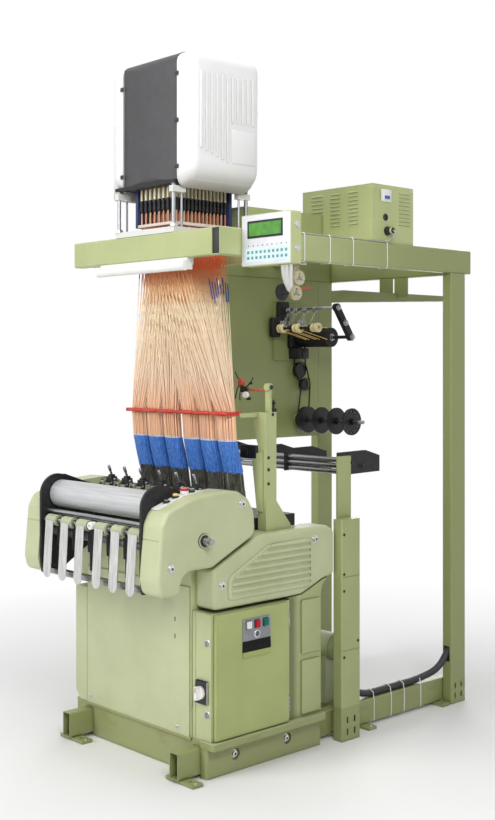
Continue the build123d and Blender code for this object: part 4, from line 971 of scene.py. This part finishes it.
sleeve_finish = finish_of(
    "blue_sleeve", sleeve_colour, grained(90.0, 0.38, 0.5),
    bump=lambda s: s.node("ShaderNodeTexWave", {"bands_direction": "Z"},
                          {"Vector": s.seen(), "Scale": 60.0}, out="Fac").bump(0.3, 0.0006))
sleeve_lines = []
for x in tape_x:
    for row in range(15):
        for column in range(9):
            across, along = row / 7 - 1, column / 4 - 1
            top = (*in_bundle(x, across, along, 228, 45, 25), 1242 + random.uniform(-5, 3))
            low = (*in_bundle(x, across, along, 261, 46, 26), 1112 + random.uniform(-5, 5))
            middle = tuple((a + b) / 2 + random.uniform(-1.2, 1.2) for a, b in zip(top, low))
            sleeve_lines.append((top, middle, low))
sleeves = drawn(sleeve_lines, 2.5, rings=1)
fitted(sleeves, "sleeve_strands", sleeve_finish)
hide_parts("harness_sleeves")


# Heddles: fine dark steel wires with long eyes, each drawn down by a return spring in
# the bed.
heddle_finish = finish_of(
    "heddle_wire", lambda s: s.noise(300.0, 2.0, (1, 1, 0.05)).spread(0.35, 0.65).mix(
        tint(52, 50, 44), tint(124, 124, 112)),
    grained(120.0, 0.38, 0.52), metallic=0.35)
heddle_lines = []
spring_lines = []
for x in tape_x:
    for row in range(15):
        for column in range(8):
            across, along = row / 7 - 1, column * 2 / 7 - 1
            top = (*in_bundle(x, across, along, 261, 46, 25), 1116)
            low = (*in_bundle(x, across, along, 287, 48, 26), 930.4)
            heddle_lines.append((top, low))
            share = random.uniform(0.3, 0.4)
            high = tuple(a + (b - a) * share for a, b in zip(top, low))
            spring_lines.append((high, tuple(a + (b - a) * 0.99 for a, b in zip(top, low))))
wires = joined([drawn(heddle_lines, 1.5), drawn(spring_lines, 2.7)])
fitted(wires, "heddle_wires", heddle_finish)
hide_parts("heddles")


# Red bars: two round bars and their end blocks hold the six cord legs apart.
red_moulded = coat("red_moulded", (186, 44, 30), (206, 60, 40), 30.0, (90.0, 0.3, 0.42))
dress(red_moulded, "red_bars")
divider = cut_block((-4, 184, 1339), (4, 256, 1351), 2.0)
grip = turned((-44, 189.5, 1345), to_right, ((0, 6), (3, 8), (85, 8), (88, 6)), sides=20)
fitted(joined([repeated(divider, [(x, 0, 0) for x in (-203.5, -98.5, 14.5, 127.5, 232.5)]),
               repeated(grip, [(x, dy, 0) for x in tape_x for dy in (0, 61)])]),
       "bar_grips", red_moulded)


# Stop motion on the harness arm: a black clamp block with a red handle and black
# wires on the red rod, and a black bracket lower on the arm.
fitted(blocks(((224, 351, 1425), (244, 372, 1449), 2.5, 3),
              ((206, 356, 1462), (220, 366, 1480), 2.5),
              ((252, 354, 1428), (262, 368, 1444), 2.0),
              ((262, 350, 1394), (278, 364, 1406), 2.5),
              ((276, 352, 1456), (288, 362, 1466), 2.0)), "stop_clamp", black_satin)
brick_red = coat("brick_red", (168, 60, 44), (206, 96, 70), 60.0, (90.0, 0.4, 0.55))
handle = joined([turned((232, 342, 1465), to_back, ((0, 11), (3, 15), (18, 15), (21, 11)),
                        sides=8),
                 cut_block((212, 350, 1446), (236, 362, 1458), 3.0, 2),
                 turned((255, 361, 1435), to_right, ((0, 4.6), (112, 4.6)), sides=16,
                        edge=0.8)])
fitted(handle, "stop_handle", brick_red)
wheel = turned((266, 348, 1414), (0.3, -1, 0.1), ((0, 11), (2, 13), (4, 10), (8, 10),
                                                  (10, 13), (12, 11), (12, 4), (9, 3)),
               sides=28)
fitted(wheel, "stop_wheel", white_moulded)
fitted(drawn((((226, 358, 1470), (206, 350, 1440), (196, 352, 1398)),
              ((240, 352, 1452), (230, 340, 1424), (236, 342, 1392)),
              ((246, 366, 1446), (276, 364, 1462), (290, 362, 1484)),
              ((212, 356, 1476), (198, 354, 1496), (196, 352, 1506))), 2.4, smooth=True,
             rings=1), "stop_wires", black_satin)
bracket = blocks(((250, 326, 1164), (346.5, 344, 1218), 5.0, 3),
                 ((262, 320, 1176), (300, 327, 1206), 3.0, 2))
fitted(bracket, "arm_bracket", black_satin)
bolt_head = turned((393.5, 361, 1447), to_right, ((0, 9), (6, 9), (7, 7)), sides=6)
fitted(bolt_head, "finger_bolt", socket_black)


# Cables and ties: a braided cable lies on the right rail in white ties, and a thin one
# runs from the power box along the beam to the display.
def braid(s):
    return s.node("ShaderNodeTexWave", {"bands_direction": "DIAGONAL"},
                  {"Vector": s.seen(), "Scale": 160.0, "Distortion": 2.0}, out="Fac")


dress(finish_of("braided_black", lambda s: braid(s).mix(tint(22, 22, 24), tint(52, 52, 56)),
                lambda s: braid(s).spread(0.0, 1.0, 0.45, 0.62),
                bump=lambda s: braid(s).bump(0.4, 0.0006)), "floor_cable")
tie_rail = [((338, y, 20), (338, y, 104), (346, y, 136), (366, y, 145), (386, y, 136),
             (392, y, 104), (392, y, 20), (386, y, 9.5), (344, y, 9.5))
            for y in (975, 1088, 1176, 1290)]
tie_beam = [((388, y, 1952), (388, y, 2049), (394, y, 2055), (428, y, 2060),
             (438, y, 2060), (442, y, 2050), (442, y, 1952), (437, y, 1946),
             (393, y, 1946)) for y in (501, 649, 788, 1003)]
fitted(drawn(tie_rail + tie_beam, 2.2, rings=1, cyclic=True), "cable_ties",
       white_moulded)
signal_line = ((458, 1015, 2105), (476, 1015, 2104), (480, 1012, 2084), (458, 1003, 2062),
               (434, 990, 2057), (433, 900, 2056.8), (434, 788, 2056.8), (433, 649, 2056.8),
               (434, 501, 2056.8), (434, 330, 2056.8), (444, 250, 2050), (470, 225, 2040),
               (480, 212, 2040))
fitted(drawn((signal_line,), 3.2, smooth=True, rings=2), "signal_cable", grey_sheath)


# Power box: a louvred sheet box with a white and blue rocker switch, a black round
# outlet and a black threaded connector on its right side.
rocker = blocks(((429.5, 972, 2228), (436, 1038, 2282), 2.5),
                ((436, 984, 2238), (441, 1026, 2272), 3.0))
fitted(rocker, "rocker_switch", white_moulded)
blue_cap = cap_finish("blue_cap", tint(60, 92, 160))
fitted(cut_block((440, 988, 2240), (442.6, 1022, 2254), 1.2), "rocker_mark", blue_cap)
outlet = turned((429.5, 1005, 2163), to_right, ((0, 15), (3, 15), (4, 13), (4, 9.5),
                                                (1, 9)), sides=32)
fitted(outlet, "cable_outlet", socket_black)
gland = turned((430, 1015, 2105), to_right, ((0, 20), (6, 20), (7, 16.5), (26, 16.5),
                                             (28, 14), (34.5, 13)), sides=8)
fitted(gland, "cable_gland", socket_black)
screw_set("box_screws", ((430, 932, 2289), (430, 1178, 2289), (430, 932, 2066),
                         (430, 1178, 2066)), to_right, 4.0)


# Thread guides under the right beam: two cream ceramic discs on a bracket, white guide
# tubes down from the beam, a black tension disc and its red rod.
ceramic = coat("cream_ceramic", (176, 168, 138), (204, 196, 166), 30.0, (60.0, 0.25, 0.4))
dress(ceramic, "guide_discs")
hub = turned((390, 525, 1884), to_right, ((0, 9), (3, 9), (3.5, 6), (8, 5)), sides=20)
fitted(repeated(hub, ((0, 0, 0), (0, -17, -61))), "disc_hubs", ground_steel)
tube_lines = (((404, 462, 1950), (398, 466, 1915), (386, 478, 1875), (376, 490, 1840)),
              ((400, 440, 1950), (394, 446, 1910), (384, 462, 1872), (374, 484, 1832)),
              ((398, 420, 1950), (390, 430, 1912), (378, 452, 1868), (372, 480, 1826)))
fitted(drawn(tube_lines, 8.0, smooth=True, rings=3), "guide_tubes", white_moulded)
tension = joined([turned((364, 446, 1824), to_right,
                         ((0, 26), (2, 34), (8, 34), (10, 28), (16, 12), (24, 10)), sides=32),
                  cut_block((372, 440, 1816), (379, 512, 1830), 2.0)])
fitted(tension, "tension_disc", black_satin)
fitted(turned((384, 530, 1842), (0, 1, 0.1), ((0, 4), (66, 4), (67, 3)), sides=14),
       "tension_rod", red_moulded)


# Yarn feeder on the left side plate: a rubbered roller under a guide bar with cream
# eyes, bright rings and yellow yarns, driven by belts from the disc shaft.
roller_y, roller_z = 1287, 1663
disc_y, disc_z = 1303, 1263
bar_y, bar_z = 1192, 1800
rubber = coat("feeder_rubber", (20, 19, 20), (34, 32, 32), 60.0, (90.0, 0.5, 0.65),
              bump=lambda s: s.noise(500.0, 2.0).bump(0.3, 0.0006),
              fixed=(("Specular IOR Level", 0.3),))
dress(rubber, "feed_roller")


def feeder_colour(s):
    inside = s.along(0).above(-379.6)
    return inside.mix(mottled(tint(146, 154, 100), tint(152, 160, 106))(s),
                      mottled(tint(18, 18, 20), tint(32, 32, 34), 40.0)(s))


def eye_colour(s):
    # Painted shade: the eye darkens to brown in its narrow corners.
    hollow_shade = s.crevice(10.0).spread(0.3, 0.9)
    return hollow_shade.mix(mottled(tint(240, 222, 158), tint(255, 246, 206), 40.0)(s), tint(120, 92, 48))


dress(finish_of("feeder_metal", feeder_colour, grained(70.0, 0.36, 0.5),
                fixed=(("Specular IOR Level", 0.3),)), "feeder_frame")
eye = turned((0, 0, 0), to_right, ((-18, 18.6), (-16, 20), (-2, 20), (0, 17), (8, 17),
                                   (10, 22), (24, 22), (26, 20), (26, 9), (12, 8.5)),
             sides=28)
fitted(repeated(eye, [(x, 1136, 1706) for x in (-359, -249, -129)]), "feeder_eyes",
       finish_of("cream_eye", eye_colour, grained(60.0, 0.25, 0.4)))
clear_selection()
bpy.ops.mesh.primitive_torus_add(major_radius=0.0115, minor_radius=0.0022,
                                 major_segments=20, minor_segments=8,
                                 rotation=(0.0, math.radians(78), 0.0),
                                 location=at(0, 1190, 1793))
ring = apply_all(bpy.context.object)
ring_places = [(x, 0, 0) for x in (-344, -334, -324, -296, -286, -276, -236, -226, -216,
                                   -166, -156)]
ring_places += [(x, -46, -62) for x in (-338, -326, -318, -306, -222, -212, -202, -192)]
fitted(repeated(ring, ring_places), "feeder_rings", ground_steel)
backing = blocks(((-379, 1096, 1664), (-352, 1150, 1760), 8.0, 3),
                 ((-379, 1140, 1700), (-356, 1216, 1838), 10.0, 3),
                 ((-379, 1216, 1612), (-350, 1300, 1700), 8.0, 3))
fitted(backing, "feeder_backing", rubber)
rod_skin = turned((-352, bar_y, bar_z), to_right, ((0, 6.6), (313, 6.6)), sides=20, edge=0.5)
bosses = [turned((-17, y, z), to_right, ((0, 15), (4, 15), (5, 12), (9, 12), (10, 9)),
                 sides=24) for y, z in ((bar_y, bar_z), (1241, 1729), (roller_y, roller_z))]
roller_nut = turned((-147, roller_y, roller_z), to_right, ((0, 17), (3, 17), (4, 13), (12, 12),
                                                           (13, 9)), sides=24)
fitted(joined([rod_skin] + bosses), "feeder_bright_parts", ground_steel)
fitted(roller_nut, "roller_collar", ground_steel, "feed_roller")
fitted(drawn([((x, 1190, 1788), (x + 9, 1168, 1758), (x + 3, 1140, 1722))
              for x in (-341, -331, -293, -279, -233, -219, -158)], 1.3, smooth=True,
             rings=1), "feeder_wires", ground_steel)
yarn_finish = coat("yellow_yarn", (220, 176, 88), (246, 214, 130), 90.0, (200.0, 0.6, 0.8))
fitted(drawn([((x, 1122, 1700), (x + 45, 1206, 1672), (x + 84, 1238, 1652))
              for x in (-352, -330, -286, -262, -214)] +
             [((-240, 1160, 1722), (-190, 1215, 1712), (-150, 1262, 1708))], 1.8,
             smooth=True, rings=1), "feeder_yarns", yarn_finish)
gearbox = blocks(((-381, 1228, 1560), (-300, 1292, 1612), 5.0, 3),
                 ((-300, 1240, 1570), (-292, 1280, 1602), 3.0, 2))
fitted(gearbox, "feeder_gearbox", black_satin)


def belt_round(x, pulleys, name):
    """A flat belt round two pulleys: the outer tangent lines and two arcs."""
    (y0, z0, r0), (y1, z1, r1) = pulleys
    span = math.dist((y0, z0), (y1, z1))
    heading = math.atan2(z1 - z0, y1 - y0)
    lean = math.acos((r0 - r1) / span)
    line = []
    for step in range(13):
        turn = heading + lean + (2 * math.pi - 2 * lean) * step / 12
        line.append((x, y0 + r0 * math.cos(turn), z0 + r0 * math.sin(turn)))
    for step in range(13):
        turn = heading - lean + 2 * lean * step / 12
        line.append((x, y1 + r1 * math.cos(turn), z1 + r1 * math.sin(turn)))
    belt = drawn((line,), 2.2, rings=1, cyclic=True)
    belt_width = 2.2
    belt.scale = (belt_width, 1.0, 1.0)
    belt.location.x = at(x, 0, 0).x * (1 - belt_width)
    fitted(apply_all(belt), name, rubber)


idler, drive = (1322, 1436, 30), (1290, 1506, 39)
belt_round(-354, (idler, (disc_y, disc_z, 38)), "lower_belt")
belt_round(-354, (drive, idler), "middle_belt")
belt_round(-362, ((roller_y, roller_z, 34), drive), "upper_belt")
pulley_shape = ((-9, 30), (-8, 36), (8, 36), (9, 30))
fitted(turned((-354, disc_y, disc_z), to_right, pulley_shape, sides=32), "disc_pulley",
       black_satin, "feed_discs")


# Feed discs: black moulded flanged discs with bright pins and shaft sleeves; the side
# plate carries a small slide with a knob in front of them.
def disc_colour(s):
    return s.noise(120.0, 2.0).spread(0.35, 0.65).mix(tint(16, 16, 18), tint(32, 32, 34))


dress(finish_of("disc_black", disc_colour, grained(70.0, 0.3, 0.45),
                fixed=(("Specular IOR Level", 0.35),)), "feed_discs")
pin_circle = 50
pin_turns = [math.radians(30 * step + 15) for step in range(12)]
dot = turned((-33, disc_y, disc_z), to_right, ((12, 3.4), (14.4, 3.2), (15, 2.4)), sides=10)
fitted(repeated(dot, [(shift, pin_circle * math.cos(turn), pin_circle * math.sin(turn))
                      for shift in (0, -98) for turn in pin_turns]),
       "disc_pins", zinc, "feed_discs")
shaft_cap = turned((-33, disc_y, disc_z), to_right, ((11, 12), (16, 12), (18, 8), (24, 7.5)),
                   sides=24)
fitted(shaft_cap, "disc_shaft_cap", ground_steel, "feed_discs")
bright = [turned((x, disc_y, disc_z), to_right, ((0, 8.8), (length, 8.8)), sides=20,
                 edge=0.6) for x, length in ((-311, 66), (-211, 62), (-113, 62), (-20, 62))]
fitted(joined(bright), "disc_shaft_sleeves", ground_steel, "feed_discs")
slide_x, slide_y = -384, 1131
slide = joined([turned((slide_x, slide_y, 1235), upward, ((0, 4), (126, 4)), sides=12, edge=0.6),
                cut_block((-390.2, 1122, 1340), (-378, 1140, 1352), 2.0),
                cut_block((-390.2, 1122, 1240), (-378, 1140, 1252), 2.0),
                turned((slide_x, slide_y, 1304), upward, ((0, 11), (3, 14), (14, 14), (17, 11)),
                       sides=20)])
fitted(slide, "plate_slide", socket_black)
